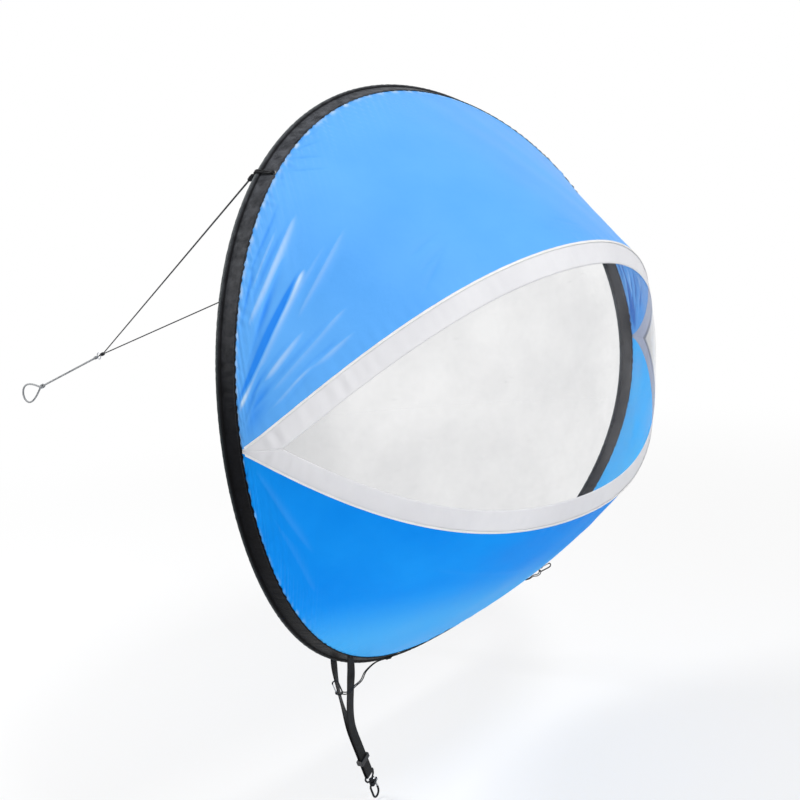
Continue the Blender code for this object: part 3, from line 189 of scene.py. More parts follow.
# %% [markdown]
# ## The hoop's line
# All cloths are sewn to one springy hoop, bent into a shallow saddle. Its line is a formula, so every cloth can read
# the same place from it: the rod's middle, the direction across the sleeve's flat part, and the direction outward.

# %% Sizes of the hoop and bowl
CHANNEL = 0.0051                 # rod, its play and the cloth round it
MIDDLE = 0.54                    # height of the hoop's middle over its lowest point
HOOP_RADIUS = MIDDLE - CHANNEL
SADDLE, FOOT_LEAN = 0.0627, 0.0081
FLANGE_SLOPES = radians(73), radians(6), radians(5)
SLEEVE_WIDTH, SLEEVE_TUCK = 0.033, 0.012
LAYER_OFFSET, FLANGE_HALF = 0.00122, 0.00162
BOWL_DEPTH, WINDOW_RISE, WINDOW_DROP = 0.238, 0.247, 0.201
TIP_TURN = 0.003 / HOOP_RADIUS
PLAN_POWERS, RISE_POWERS, DROP_POWERS = (1.73, 1.40), (2.03, 1.13), (2.52, 1.06)
BULGES = {1: 0.005, -1: 0.015}
WINDOW_BULGE = 0.026
CLOTH = 0.0008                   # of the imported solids; the cloth drawn here lies in the middle of it
BORDER_WIDTH, PANE_OVERLAP = 0.037, 0.008
TAPE_SEEN = 0.0034               # the drawn tape is folded at both edges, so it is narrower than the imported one


print("hoop", round(2 * pi * HOOP_RADIUS, 3), "m round; bowl", BOWL_DEPTH, "m deep")


# %% Places on the hoop
def unit(v):
    """Directions made one long."""
    return v / np.maximum(np.linalg.norm(v, axis=-1, keepdims=True), 1e-12)


def rim(turn):
    """Rod's middle, direction across the sleeve and outward normal, for angles of any array shape."""
    turn = np.asarray(turn, float)
    back = -SADDLE * np.cos(2 * turn) + FOOT_LEAN * np.sin(3 * turn) - SADDLE - FOOT_LEAN
    rod = np.stack((HOOP_RADIUS * np.cos(turn), back, HOOP_RADIUS * np.sin(turn) + MIDDLE), -1)
    slant = 2 * SADDLE * np.sin(2 * turn) + 3 * FOOT_LEAN * np.cos(3 * turn)
    along = unit(np.stack((-HOOP_RADIUS * np.sin(turn), slant, HOOP_RADIUS * np.cos(turn)), -1))
    slope = FLANGE_SLOPES[0] + FLANGE_SLOPES[1] * np.cos(2 * turn) + FLANGE_SLOPES[2] * np.sin(turn)
    across = np.stack((-np.cos(slope) * np.cos(turn), -np.sin(slope), -np.cos(slope) * np.sin(turn)), -1)
    outward = unit(np.cross(along, across))
    return rod, unit(np.cross(outward, along)), outward, along


def on_sleeve(turn, across_by, outward_by):
    """Place on the sleeve, so far in from the rod and so far out from the middle of its layers."""
    rod, across, outward, _ = rim(turn)
    return rod + across * np.asarray(across_by)[..., None] + outward * np.asarray(outward_by)[..., None]


print("hoop's top is", round(float(rim(pi / 2)[0][2]), 3), "m up")


# %% Places on the cloths
def roundness(share, powers):
    """1 in the middle of a curve and 0 at its ends, full or pointed by its two powers."""
    return np.maximum(0.0, 1 - np.abs(share) ** powers[0]) ** (1 / powers[1])


def seam_share(turn):
    """1 at one tip of the window, 0 in the middle and -1 at the other tip."""
    return np.sin((pi / 2 - turn) / (pi / 2 - TIP_TURN) * pi / 2)


def seam(turn, side):
    """Seam between a blue cloth and the window, above (1) or below (-1)."""
    corner = on_sleeve(side * TIP_TURN, SLEEVE_WIDTH, -CLOTH / 2)
    share = seam_share(turn)
    tip = side * (corner[2] - MIDDLE)
    rise, powers = (WINDOW_RISE, RISE_POWERS) if side > 0 else (WINDOW_DROP, DROP_POWERS)
    height = tip + (rise - tip) * roundness(share, powers)
    return np.stack((corner[0] * share, corner[1] - BOWL_DEPTH * roundness(share, PLAN_POWERS),
                     MIDDLE + side * height), -1)


def panel_place(turn, side, share):
    """Upper (1) or lower (-1) blue cloth, from the sleeve (share 0) to the window's seam (share 1)."""
    start = on_sleeve(side * turn, SLEEVE_WIDTH, -CLOTH / 2)
    swell = BULGES[side] * 4 * share * (1 - share) * roundness(seam_share(turn), PLAN_POWERS)
    out = np.array((0, -1, side)) / 2 ** 0.5
    return start + (seam(turn, side) - start) * share[..., None] + out * swell[..., None]


def window_place(turn, share):
    """Window, from the upper seam (share 0) to the lower one (share 1)."""
    top, low = seam(turn, 1), seam(turn, -1)
    swell = WINDOW_BULGE * 4 * share * (1 - share) * roundness(seam_share(turn), PLAN_POWERS)
    return top + (low - top) * share[..., None] + np.array((0, -1, 0)) * swell[..., None]


def window_height(turn):
    """Distance between the two seams."""
    return np.linalg.norm(seam(turn, 1) - seam(turn, -1), axis=-1)


print("window", round(float(window_height(pi / 2)), 3), "m high in its middle")

# %% [markdown]
# ## Cloth and cord makers
# A cloth is a fine grid of points read from those formulas. Its UV map holds real metres along and across the cloth, so
# that weave and stitches keep their size where the cloth curves. A cord is a ring of points carried along a line, with
# UV turns round it and metres along it. Cloth could also be shaped by simulation, but here it is stretched on a hoop,
# and a formula gives a stretched cloth its exact line.

# %% Lengths and directions
def travel(line):
    """Metres from a line's start to each of its points."""
    return np.concatenate(([0], np.cumsum(np.linalg.norm(np.diff(line, axis=0), axis=-1))))


def away(points):
    return points - np.array((0, 0, MIDDLE))


def facing_out(direction, place):
    """Unit directions, turned to the side away from the hoop's middle."""
    return unit(direction * np.where(np.sum(direction * away(place), -1, keepdims=True) < 0, -1, 1))


def grid_normals(points):
    """Outward normals of a grid of points."""
    return facing_out(np.cross(np.gradient(points, axis=0), np.gradient(points, axis=1)), points)


def metres(points):
    """UV pairs of a grid: metres run along its rows and its columns."""
    u = np.linalg.norm(np.diff(points, axis=0), axis=-1)
    v = np.linalg.norm(np.diff(points, axis=1), axis=-1)
    u = np.concatenate((np.zeros((1, points.shape[1])), np.cumsum(u, 0)))
    v = np.concatenate((np.zeros((points.shape[0], 1)), np.cumsum(v, 1)), 1)
    return np.stack((np.broadcast_to(u[:, u.shape[1] // 2:u.shape[1] // 2 + 1], u.shape), v), -1)


def mirrored(v, side):
    """A place or direction on the left side, kept (1) or mirrored to the right (-1)."""
    return Vector((v[0] * side, v[1], v[2]))


def smooth_line(points, per_run, closed=False):
    """More points on a smooth curve through the given ones."""
    p = np.array([tuple(q) for q in points], float)
    count = len(p)
    made = []
    for k in range(count if closed else count - 1):
        a, b = p[k], p[(k + 1) % count]
        before = p[k - 1] if closed or k else a
        after = p[(k + 2) % count] if closed or k + 2 < count else b
        for s in np.arange(per_run) / per_run:
            made.append(0.5 * (2 * a + (b - before) * s + (2 * before - 5 * a + 4 * b - after) * s ** 2
                               + (3 * a - before - 3 * b + after) * s ** 3))
    return np.array(made if closed else made + [p[-1]])


print("hoop's line", round(travel(rim(np.linspace(0, 2 * pi, 721))[0])[-1], 3), "m long")


# %% Mesh makers
def quads(rows, columns, round_rows=False, round_columns=False):
    """Corner numbers of a grid's quads."""
    i = np.arange(rows if round_rows else rows - 1)[:, None]
    j = np.arange(columns if round_columns else columns - 1)[None, :]
    a, b = i * columns, (i + 1) % rows * columns
    k = (j + 1) % columns
    return np.stack((a + j, a + k, b + k, b + j), -1).reshape(-1, 4)


def new_piece(name, points, faces, look, body="sail", shell=False):
    """A smooth piece from points and faces. A closed shell gets its faces turned outwards."""
    mesh = bpy.data.meshes.new(name)
    mesh.from_pydata(np.reshape(points, (-1, 3)).tolist(), [], faces)
    if shell:
        work = bmesh.new()
        work.from_mesh(mesh)
        bmesh.ops.recalc_face_normals(work, faces=work.faces)
        work.to_mesh(mesh)
        work.free()
    mesh.shade_smooth()
    mesh.materials.append(look)
    piece = bpy.data.objects.new(name, mesh)
    bpy.context.scene.collection.objects.link(piece)
    if body:
        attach(piece, body)
    return piece


def map_points(piece, uv):
    """Give each corner of the mesh the UV pair of its point."""
    layer = piece.data.uv_layers.new(name="UVMap")
    corner = np.empty(len(piece.data.loops), np.int32)
    piece.data.loops.foreach_get("vertex_index", corner)
    layer.data.foreach_set("uv", np.asarray(uv, np.float32).reshape(-1, 2)[corner].ravel())


print("a grid of 3 by 3 points has", len(quads(3, 3)), "quads")

# %% Cloth maker
THIN = 0.0004                    # cloth as drawn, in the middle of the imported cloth
cuts = {}


def sheet_piece(name, points, look, thickness=THIN, inside=None):
    """A cloth with an inside and an outside: the grid is given a wall, and its cut is measured."""
    faces = quads(*points.shape[:2])
    flat = points.reshape(-1, 3)
    a, b, _, d = flat[faces[len(faces) // 2]]
    if np.cross(b - a, d - a) @ away(a) < 0:
        faces = faces[:, ::-1]
    piece = new_piece(name, points, faces.tolist(), look)
    map_points(piece, metres(points))
    wall = piece.modifiers.new("Solidify", "SOLIDIFY")
    wall.thickness, wall.offset = thickness, 0
    if inside:
        piece.data.materials.append(inside)
        wall.material_offset = 1
    length, width = (np.linalg.norm(np.diff(points, axis=k), axis=-1).sum(k).max() for k in (0, 1))
    a, b, c, d = (flat[faces[:, k]] for k in range(4))
    cuts[name] = width, length, np.linalg.norm(np.cross(c - a, d - b), axis=-1).sum() / 2
    return piece


print("a cloth is drawn", THIN * 1000, "mm thick")


# %% Cord maker
def sweep(name, line, radius, look, body="sail", sides=12, closed=False):
    """A cord or wire: rings of points along a line, with capped ends or closed on itself."""
    line = np.array([tuple(p) for p in line], float)
    count = len(line)
    run = unit(np.roll(line, -1, 0) - np.roll(line, 1, 0) if closed else np.gradient(line, axis=0))
    across = unit(np.cross(run[0], (0, 0, 1) if abs(run[0][2]) < 0.9 else (1, 0, 0)))
    turn = np.linspace(0, 2 * pi, sides, endpoint=False)[:, None]
    rings = []
    for place, way in zip(line, run):
        across = unit(across - way * (across @ way))
        rings.append(place + (across * np.cos(turn) + np.cross(way, across) * np.sin(turn)) * radius)
    faces = quads(count, sides, round_rows=closed, round_columns=True)[:, ::-1].tolist()
    if not closed:
        faces += [list(range(sides))[::-1], list(range((count - 1) * sides, count * sides))]
    piece = new_piece(name, np.array(rings), faces, look, body, shell=True)

    step = travel(line)
    total = step[-1] + (np.linalg.norm(line[0] - line[-1]) if closed else 0)
    layer = piece.data.uv_layers.new(name="UVMap")
    for polygon in piece.data.polygons:
        rows, columns = zip(*(divmod(vertex, sides) for vertex in polygon.vertices))
        for corner, row, column in zip(polygon.loop_indices, rows, columns):
            u = 1.0 if column == 0 and sides - 1 in columns else column / sides
            v = total if closed and row == 0 and count - 1 in rows else step[row]
            layer.data[corner].uv = (u, v)
    return piece


print("a cord has 12 sides")

# %% [markdown]
# ## Cord
# The two bridle lines are 3 mm polyester cord with a plaited cover, and the rein is softer 5.5 mm cord, grey with dark
# flecks. A plait could be modelled strand by strand, but at this size a pattern on the UV map looks the same: two sets
# of slanting ridges, which cross like the strands and lift the surface between them. The strands are matt, with a faint
# sheen of loose fibres.

# %% Cord materials
def plait(name, base, groove_shade, pitch, strands, fleck=None, size=0.0004):
    """Braided cord: ridges slant both ways round it, one strand every pitch metres along it."""
    material, shader = new_material(name, roughness=0.72, specular_ior_level=0.2, sheen_weight=0.08)
    uv = add_node(material, "TexCoord").outputs["UV"]
    parts = add_node(material, "SeparateXYZ", vector=uv).outputs
    turn = add_node(material, "Math", "MULTIPLY", in_0=parts["X"], in_1=strands * 2 * pi)
    along = add_node(material, "Math", "MULTIPLY", in_0=parts["Y"], in_1=2 * pi / pitch)
    ridges = []
    for slant in ("ADD", "SUBTRACT"):
        both = add_node(material, "Math", slant, in_0=turn, in_1=along)
        ridges.append(add_node(material, "Math", "SINE", in_0=both))
    crossing = add_node(material, "Math", "MULTIPLY", in_0=ridges[0], in_1=ridges[1])
    height = add_node(material, "MapRange", in_0=crossing, in_1=-1.0, in_2=1.0)
    # Painted shade: the grooves between the strands are painted darker than the ridges
    colour = add_node(material, "ValToRGB", stops=((0.18, groove_shade), (0.62, base)), in_0=height)
    if fleck:
        scaled = add_node(material, "Mapping", in_0=uv, in_3=(3.0, 420.0, 1.0))
        spots = add_node(material, "TexNoise", in_0=scaled, scale=1.0, detail=1.0)
        mask = add_node(material, "MapRange", in_0=spots, in_1=0.56, in_2=0.62)
        colour = add_node(material, "Mix", "RGBA", in_0=mask, in_6=colour, in_7=linear(fleck))
    bump = add_node(material, "Bump", strength=0.4, distance=size, height=height)
    fill(material, shader, base_color=colour, normal=bump)
    return material


black_cord = plait("black_plaited_polyester", "1B1C20", "08080A", 0.0034, 3)
grey_cord = plait("grey_plaited_polyester", "A7A9AB", "6E7073", 0.006, 4, fleck="2E3034", size=0.0006)
thin_cord = plait("black_thin_polyester", "191A1D", "070709", 0.0026, 3, size=0.0003)
print("cords:", black_cord.name, grey_cord.name, thin_cord.name)

# %% [markdown]
# ## Bridle
# Each line is tied to the sleeve at ten and two o'clock and runs straight aft to a small steel ring, where a knot holds
# both. The rein goes on from the ring to the paddler's hand and ends in a tied loop, just outside the view. All are
# taut, so their lines are straight. A sagging line would need a curve, but wind in the sail keeps these tight.

# %% Bridle lines
LINE, LINE_TURN, KNOT, RING, RING_WIRE = 0.003, radians(133), 0.024, 0.020, 0.0028
MEETING = 0.016                  # length of the knot in which both lines end
GAP = 0.0003                     # left between pieces that would touch
FALL = radians(17.3)
CORD_STEPS = 39
ring_place = Vector((0, 1.1735, 0.5142))
rein_way = Vector((0, cos(FALL), -sin(FALL)))
front_wire, back_wire = (ring_place + rein_way * (RING - RING_WIRE) / 2 * way for way in (-1, 1))
front_end = front_wire - rein_way * (RING_WIRE / 2 + GAP + LINE + MEETING)

left_tie = Vector(on_sleeve(LINE_TURN, -(CHANNEL + 2 * GAP + LINE), 0.0))
bridle = {}
for side, name in ((1, "left"), (-1, "right")):
    start = mirrored(left_tie, side)
    finish = front_end - rein_way * 2 * GAP - Vector((side * LINE * 0.75, 0, 0))
    way = (finish - start).normalized()
    start += way * 2 * GAP
    line = [start.lerp(finish, k / CORD_STEPS) for k in range(CORD_STEPS + 1)]
    piece = sweep(name + "_line", line, LINE / 2, black_cord)
    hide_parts(name + "_bridle_line")
    bridle[name] = piece, line, way
print("bridle lines", round((bridle["left"][1][-1] - bridle["left"][1][0]).length, 3), "m")

# %% Rein
REIN, HITCH, REIN_LENGTH, REIN_KNOT, LOOP_LENGTH, LOOP_WIDTH = 0.0055, 0.012, 0.335, 0.020, 0.125, 0.058
hitch_end = back_wire + rein_way * (RING_WIRE / 2 + GAP + REIN * 0.6 + HITCH)
rein_line = [hitch_end + rein_way * (GAP + REIN_LENGTH * k / CORD_STEPS) for k in range(CORD_STEPS + 1)]
rein = sweep("rein", rein_line, REIN / 2, grey_cord)
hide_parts("rein_line")
rein_knot_place = rein_line[-1] + rein_way * (GAP + REIN_KNOT / 2)
print("rein", REIN_LENGTH, "m")

# %% [markdown]
# ## Knots
# A knot is the cord itself, wound round. Each could be tied strand over strand, but drawn small it reads as a coil of
# the same cord: tight turns that swell in the middle, laid over the standing line. At the ring the cord leaves its
# knot, goes once round the ring's wire and comes back, so the ring hangs in a loop on each side.


# %% Knots
def wound_knot(name, place, way, length, outer, cord, turns, look, node, wire=None):
    """Turns of cord round a line; where a wire is given, the cord goes round that too and back into the knot."""
    place, way = Vector(place), Vector(way).normalized()
    side = way.orthogonal().normalized()
    other = way.cross(side)
    line = []
    count = int(turns * 16)
    for k in range(count + 1):
        share = k / count
        a = 2 * pi * turns * share
        swell = (outer - cord) / 2 * (0.86 + 0.14 * sin(pi * share))
        line.append(place + way * (share - 0.5) * (length - cord) + (side * cos(a) + other * sin(a)) * swell)
    if wire is not None:
        out, across = (wire - place).normalized(), Vector((1, 0, 0))
        back = [wire - out * (RING_WIRE / 2 + cord * share) for share in (3, 2.5, 2)]
        line += [p - across * cord * 0.4 for p in back]
        line += [wire + (out * cos(a) + across * sin(a)) * (RING_WIRE / 2 + GAP + cord / 2)
                 for a in (radians(v) for v in range(-120, 121, 12))]
        line += [p + across * cord * 0.4 for p in reversed(back)]
    knot = sweep(name, line, cord / 2, look, sides=10)
    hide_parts(node)
    return knot


for name, (piece, line, way) in bridle.items():
    wound_knot(name + "_tie_knot", line[0] + way * (KNOT + LINE) / 2, way, KNOT * 0.9, 0.0078,
                             LINE * 0.78, 6, black_cord, name + "_line_knot")
wound_knot("meeting_knot", front_end + rein_way * MEETING / 2, rein_way, 0.0155, 0.0098, LINE, 4, black_cord,
           "bridle_knot", wire=front_wire)
hitch = wound_knot("ring_hitch", hitch_end - rein_way * HITCH / 2, rein_way, HITCH, 0.0095, REIN * 0.55, 3, grey_cord,
                   "rein_hitch", wire=back_wire)
hand_knot = wound_knot("hand_knot", rein_knot_place, rein_way, REIN_KNOT, 0.0135, REIN * 0.82, 3.5, grey_cord,
                       "rein_knot")
print("knots: one at each tie, two at the ring and one at the hand")

# %% Hand loop
loop_root = rein_knot_place + rein_way * (GAP + REIN_KNOT / 2 + REIN / 2)
loop_up = Vector((0, sin(FALL), cos(FALL)))
loop_line = []
for k in range(97):
    a = 2 * pi * (0.012 + 0.976 * k / 96)         # a full turn, but for a gap between the loop's two ends
    loop_line.append(loop_root + rein_way * LOOP_LENGTH * (1 - cos(a)) / 2
                     + loop_up * LOOP_WIDTH * 0.62 * sin(a) * sin(a / 2) ** 1.2)
hand_loop = sweep("hand_loop", loop_line, REIN / 2, grey_cord)
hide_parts("rein_loop")

# %% [markdown]
# ## Blue cloth
# The bowl is thin polyester, coated on its outer side and woven so finely that only a satin gloss shows. The weave is
# drawn a few times coarser than the real 0.2 mm threads, or it would vanish. The gloss and the folds do the rest, and
# where a fold is sharp, a painted highlight lies pale along its crest and painted shade darkens its foot. An image of
# cloth could be laid on, but a pattern of nodes stays sharp at any distance.


# %% Cloth material
def woven(name, low, high, roughness, gloss, spacing=0.0016, depth=0.25, cloud=6.0):
    """Coated plain weave: threads cross every spacing metres, and the colour drifts a little."""
    material, shader = new_material(name, ior=1.5, specular_ior_level=gloss)
    coords = add_node(material, "TexCoord").outputs
    drift = add_node(material, "TexNoise", in_0=coords["Object"], scale=cloud, detail=4.0, roughness=0.55)
    colour = add_node(material, "ValToRGB", stops=((0.3, low), (0.7, high)), in_0=drift)
    parts = add_node(material, "SeparateXYZ", vector=coords["UV"]).outputs
    threads = []
    for axis in ("X", "Y"):
        turn = add_node(material, "Math", "MULTIPLY", in_0=parts[axis], in_1=2 * pi / spacing)
        threads.append(add_node(material, "Math", "SINE", in_0=turn))
    weave = add_node(material, "Math", "MULTIPLY", in_0=threads[0], in_1=threads[1])
    bump = add_node(material, "Bump", strength=depth, distance=0.0002, height=weave)
    crumple = add_node(material, "TexNoise", in_0=coords["Object"], scale=38.0, detail=3.0, roughness=0.6)
    fine = add_node(material, "Bump", strength=0.16, distance=0.004, height=crumple, normal=bump)
    rough = add_node(material, "MapRange", in_0=drift, in_1=0.3, in_2=0.7, in_3=roughness - 0.06,
                     in_4=roughness + 0.08)
    fill(material, shader, base_color=colour, roughness=rough, normal=fine)
    return material, shader, colour


def paint_fold_light(cloth, deep, pale, full=1.0):
    """Paint a pale highlight on the crest of a sharp fold and deeper shade at its foot, into a woven cloth's colour."""
    material, shader, colour = cloth
    # The point attribute holds painted light: below 0 it paints shade, above 0 it paints a highlight
    painted_fold_light = add_node(material, "Attribute", "painted_fold_light").outputs["Fac"]
    foot = add_node(material, "MapRange", "SMOOTHSTEP", in_0=painted_fold_light, in_1=0.0, in_2=-full * 1.2)
    top = add_node(material, "MapRange", in_0=painted_fold_light, in_1=0.0, in_2=full)
    painted_shade = add_node(material, "Mix", "RGBA", in_0=foot, in_6=colour, in_7=linear(deep))
    painted_highlight = add_node(material, "Mix", "RGBA", in_0=top, in_6=painted_shade, in_7=linear(pale))
    fill(material, shader, base_color=painted_highlight)
    return material, shader, painted_highlight


# %% Cloth colours
# The coated side has a soft gloss; the uncoated side is matt and a little duller, as bare threads are. The last two
# colours given to each cloth are its painted fold shade and painted fold highlight. The light blue and white insides
# are painted darker still, as painted shade, and the strong blue inside is painted lighter, as painted light shining
# through.
light_blue, *_ = paint_fold_light(woven("light_blue_coated_polyester", "5CABF9", "67B4FF", 0.38, 0.06), "2E8CF6", "CBE6FF")
light_inside_painted_shade, *_ = paint_fold_light(woven("light_blue_inside_painted_shade", "4798E2", "55A5EC", 0.7, 0.02), "2470C4", "86BDF2", 0.4)
strong_inside_painted_light, *_ = paint_fold_light(woven("strong_blue_inside_painted_light", "2CB2FF", "3ABDFF", 0.7, 0.02), "1C86DC", "86CCFF")
white_cloth, *_ = woven("white_coated_polyester", "E0E0E4", "ECECEF", 0.45, 0.12)
white_inside_painted_shade, *_ = woven("white_cloth_inside_painted_shade", "9DA2B4", "ACB0C0", 0.7, 0.05)

# The lower cloth is painted paler towards its foot, as painted light bounced up from the deck.
strong_blue, shader, colour = paint_fold_light(woven("strong_blue_coated_polyester", "0A90F8", "189DFF", 0.45, 0.02),
                                      "0579E6", "7CC0FF")
height = add_node(strong_blue, "SeparateXYZ", vector=add_node(strong_blue, "TexCoord").outputs["Object"]).outputs["Z"]
low_part = add_node(strong_blue, "MapRange", "SMOOTHSTEP", in_0=height, in_1=0.27, in_2=0.14)
painted_deck_light = add_node(strong_blue, "Mix", "RGBA", in_0=low_part, in_6=colour, in_7=linear("4AB6FF"))
fill(strong_blue, shader, base_color=painted_deck_light)
print("cloths:", light_blue.name, strong_blue.name, white_cloth.name)

# %% [markdown]
# ## Folds
# The cloth is pulled from the window's tips, so long folds fan out from them, and stitching gathers it along each seam.
# Each long fold is a ridge along a straight line between two places on the cloth, pointed at both ends and steeper on
# one side; a hollow is the same turned in. The gathers are rows of small uneven ripples that die out within a few
# centimetres. A cloth simulation makes folds too, but not in the places that the real ones have. Each point also keeps
# its painted light in a point attribute, which the cloth's colour reads: painted highlight on fold crests and along the
# sleeve's edge, and painted shade at the foot of a fold's steep side and in the hollows.


# %% Fold makers
def ripples(length, spacing, seed, count=14):
    """Uneven ripples along a run of metres, about one every spacing, between -1 and 1."""
    pick = np.random.default_rng(seed)
    waves = 2 * pi / (spacing * pick.uniform(0.7, 1.6, count))
    phases = pick.uniform(0, 2 * pi, count)
    return np.sin(length[..., None] * waves + phases).sum(-1) / count ** 0.5


def fold(points, normal, start, end, width):
    """A ridge's height over the line between two places, steep on one side, and its painted light: highlight on the
    crest, shade at the steep side's foot.
    """
    way = end - start
    size = np.linalg.norm(way)
    way = way / size
    along = (points - start) @ way / size
    off = points - start - along[..., None] * size * way
    steep = np.tanh(np.sum(np.cross(way, off) * normal, -1) / (width * 0.2))
    taper = np.sin(pi * np.clip((along + 0.1) / 1.2, 0, 1)) ** 1.1
    reach = np.linalg.norm(off, axis=-1) / (width * (0.75 + 0.25 * steep) * (0.4 + 0.6 * taper))
    painted_fold_light = np.exp(-(reach * 1.7) ** 2) - 0.5 * np.exp(-((reach - 1.7) / 0.8) ** 2) * (1 - steep) / 2
    return np.exp(-reach ** 2) * taper, painted_fold_light * taper


print("ripples reach", round(np.abs(ripples(np.linspace(0, 1, 500), 0.02, 1)).max(), 2), "either way")


# %% Fold lines
# Angle and share at both ends, height or depth and width in millimetres, and how strongly the painted highlight or
# painted shade shows
UPPER_FOLDS = (
    (136.2, 0.23, 155.6, 0.22, 3.6, 12, 1.2), (140.7, 0.45, 169.6, 0.34, 2.2, 11, 4.5),
    (129.2, 0.48, 144.2, 0.58, 3.0, 9, 0.45), (137.7, 0.76, 164.6, 0.71, 2.6, 10, 0.8),
    (146.7, 0.67, 162.6, 0.60, 2.0, 9, 0.7), (138.2, 0.88, 152.1, 0.86, 1.6, 8, 0.5),
    (143.7, 0.85, 161.1, 0.86, 1.4, 7, 0.45), (134.7, 0.46, 152.6, 0.48, 1.5, 9, 0.25),
    (159.6, 0.60, 171.1, 0.63, 1.5, 7, 0.35), (141.2, 0.16, 153.6, 0.13, 2.0, 7, 0.45),
)
UPPER_HOLLOWS = (
    (142.7, 0.30, 155.1, 0.33, 1.4, 8, 0.60), (148.7, 0.315, 162.6, 0.325, 1.6, 8, 0.65),
    (158.6, 0.55, 172.1, 0.89, 1.0, 20, 0.75), (139.7, 0.83, 156.6, 0.92, 1.0, 8, 0.40),
    (114.2, 0.80, 123.2, 0.92, 1.2, 6, 0.35), (127.2, 0.00, 119.7, 0.08, 1.0, 4, 0.35),
    (129.2, 0.00, 121.7, 0.15, 1.2, 4, 0.40), (131.2, 0.03, 122.7, 0.21, 1.2, 4, 0.40),
    (124.2, 0.00, 118.2, 0.03, 0.9, 4, 0.30), (122.2, 0.77, 113.7, 0.74, 1.2, 5, 0.28),
    (122.2, 0.85, 114.2, 0.80, 1.2, 5, 0.28), (110.7, 0.83, 111.7, 0.95, 0.9, 4, 0.24),
    (103.7, 0.84, 105.7, 0.94, 0.9, 4, 0.22), (91.7, 0.95, 74.3, 0.82, 1.2, 5, 0.24),
    (95.2, 0.92, 87.8, 0.84, 0.8, 4, 0.25), (137.0, 0.10, 150.0, 0.075, 0.8, 5, 0.9),
    (149.0, 0.085, 160.0, 0.07, 0.8, 5, 0.8),
)
LOWER_FOLDS = (
    (168.0, 0.80, 150.0, 0.55, 1.8, 14, 0.2), (165.0, 0.55, 146.0, 0.30, 1.5, 14, 0.2),
    (120.0, 0.75, 96.0, 0.68, 1.4, 16, 0.1),
)
print("fold lines:", len(UPPER_FOLDS) + len(UPPER_HOLLOWS), "above and", len(LOWER_FOLDS), "below, on each half")


# %% Blue panels
def blue_cloth(name, side, folds, hollows, look, inside, seed):
    """Upper (1) or lower (-1) cloth, from its tucked edge in the sleeve to the seam, finest where its folds lie."""
    turn = np.linspace(0, pi, 4001)
    crowd = 0.7 + np.exp(-((turn - radians(40)) / 0.35) ** 2) + np.exp(-((turn - radians(140)) / 0.35) ** 2)
    crowd = np.concatenate(([0], np.cumsum(crowd[1:] + crowd[:-1])))
    turn = TIP_TURN + np.interp(np.linspace(0, crowd[-1], 401), crowd, turn) / pi * (pi - 2 * TIP_TURN)
    share = np.concatenate((np.linspace(0, 0.08, 13)[:-1], np.linspace(0.08, 0.9, 84)[:-1], np.linspace(0.9, 1, 15)))
    t, s = np.meshgrid(turn, share, indexing="ij")
    points = panel_place(t, side, s)
    tucked = on_sleeve(side * turn, SLEEVE_WIDTH - SLEEVE_TUCK, -CLOTH / 2)
    normal = grid_normals(points)
    from_sleeve = np.linalg.norm(points - points[:, :1], axis=-1)
    from_seam = np.linalg.norm(points - points[:, -1:], axis=-1)
    run, seam_run = travel(points[:, 0])[:, None], travel(points[:, -1])[:, None]

    # Gathers: height, metres between ripples, and how far from the edge they reach
    lift = 0.0012 * ripples(run + from_sleeve * 0.6, 0.017, seed) * np.exp(-from_sleeve / 0.016)
    lift += 0.0006 * ripples(run - from_sleeve * 0.9, 0.031, seed + 3) * np.exp(-from_sleeve / 0.045)
    lift += 0.0005 * ripples(seam_run, 0.024, seed + 1) * np.exp(-from_seam / 0.018)
    lift += 0.0006 * ripples(run + from_sleeve * 0.35, 0.11, seed + 2, 6)
    # Painted highlight along the sleeve's edge, where the cloth bends down into the sleeve, and faint painted light
    # over the gathers
    painted_fold_light = 0.6 * np.exp(-(from_sleeve / 0.0055) ** 2) * (0.4 + 0.8 * ripples(run, 0.026, seed + 4))
    painted_fold_light += 0.07 * ripples(run - from_sleeve * 0.5, 0.012, seed + 5) * np.exp(-from_sleeve / 0.045)
    # Long folds and hollows, on the near half and, a little lower, on the far half: a fold paints its highlight and
    # shade, a hollow paints shade
    for mirror in (False, True):
        for way, lines in ((1, folds), (-1, hollows)):
            for a0, s0, a1, s1, high, wide, show in lines:
                ends = [panel_place(np.array(radians(180 - a if mirror else a)), side, np.array(q))
                        for a, q in ((a0, s0), (a1, s1))]
                bell, sharp = fold(points, normal, *ends, wide / 1000)
                lift += way * bell * high / 1000 * (0.85 if mirror else 1)
                painted_fold_light += show * (sharp if way > 0 else -bell)
    lift *= np.clip(np.minimum(from_sleeve, from_seam) / 0.010, 0, 1) ** 0.8

    points = points + normal * (lift + CLOTH / 2)[..., None]
    points = np.concatenate(((tucked + normal[:, 0] * CLOTH / 2)[:, None], points), 1)
    piece = sheet_piece(name, points, look, inside=inside)
    values = piece.data.attributes.new("painted_fold_light", "FLOAT", "POINT")
    values.data.foreach_set("value", np.concatenate((painted_fold_light[:, :1], painted_fold_light), 1).astype(np.float32).ravel())
    return piece


upper_cloth = blue_cloth("upper_cloth", 1, UPPER_FOLDS, UPPER_HOLLOWS, light_blue, light_inside_painted_shade, 11)
lower_cloth = blue_cloth("lower_cloth", -1, LOWER_FOLDS, (), strong_blue, strong_inside_painted_light, 31)
for piece, node, slot in ((upper_cloth, "upper_panel", "light_blue_ripstop"),
                          (lower_cloth, "lower_panel", "blue_ripstop")):
    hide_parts(node)
print("blue cloths:", len(upper_cloth.data.polygons), "quads each")

# %% [markdown]
# ## Window border and pane
# The pane is soft clear vinyl sheet, 0.3 mm thick and slightly milky. A white cloth border frames it. Glass would bend
# the light and needs a closed body, but a soft sheet this thin only veils what lies behind it. So the vinyl is drawn
# mostly see-through, with a grey haze that is thicker in patches and near the tips, and thin slanting scratches from
# being folded.


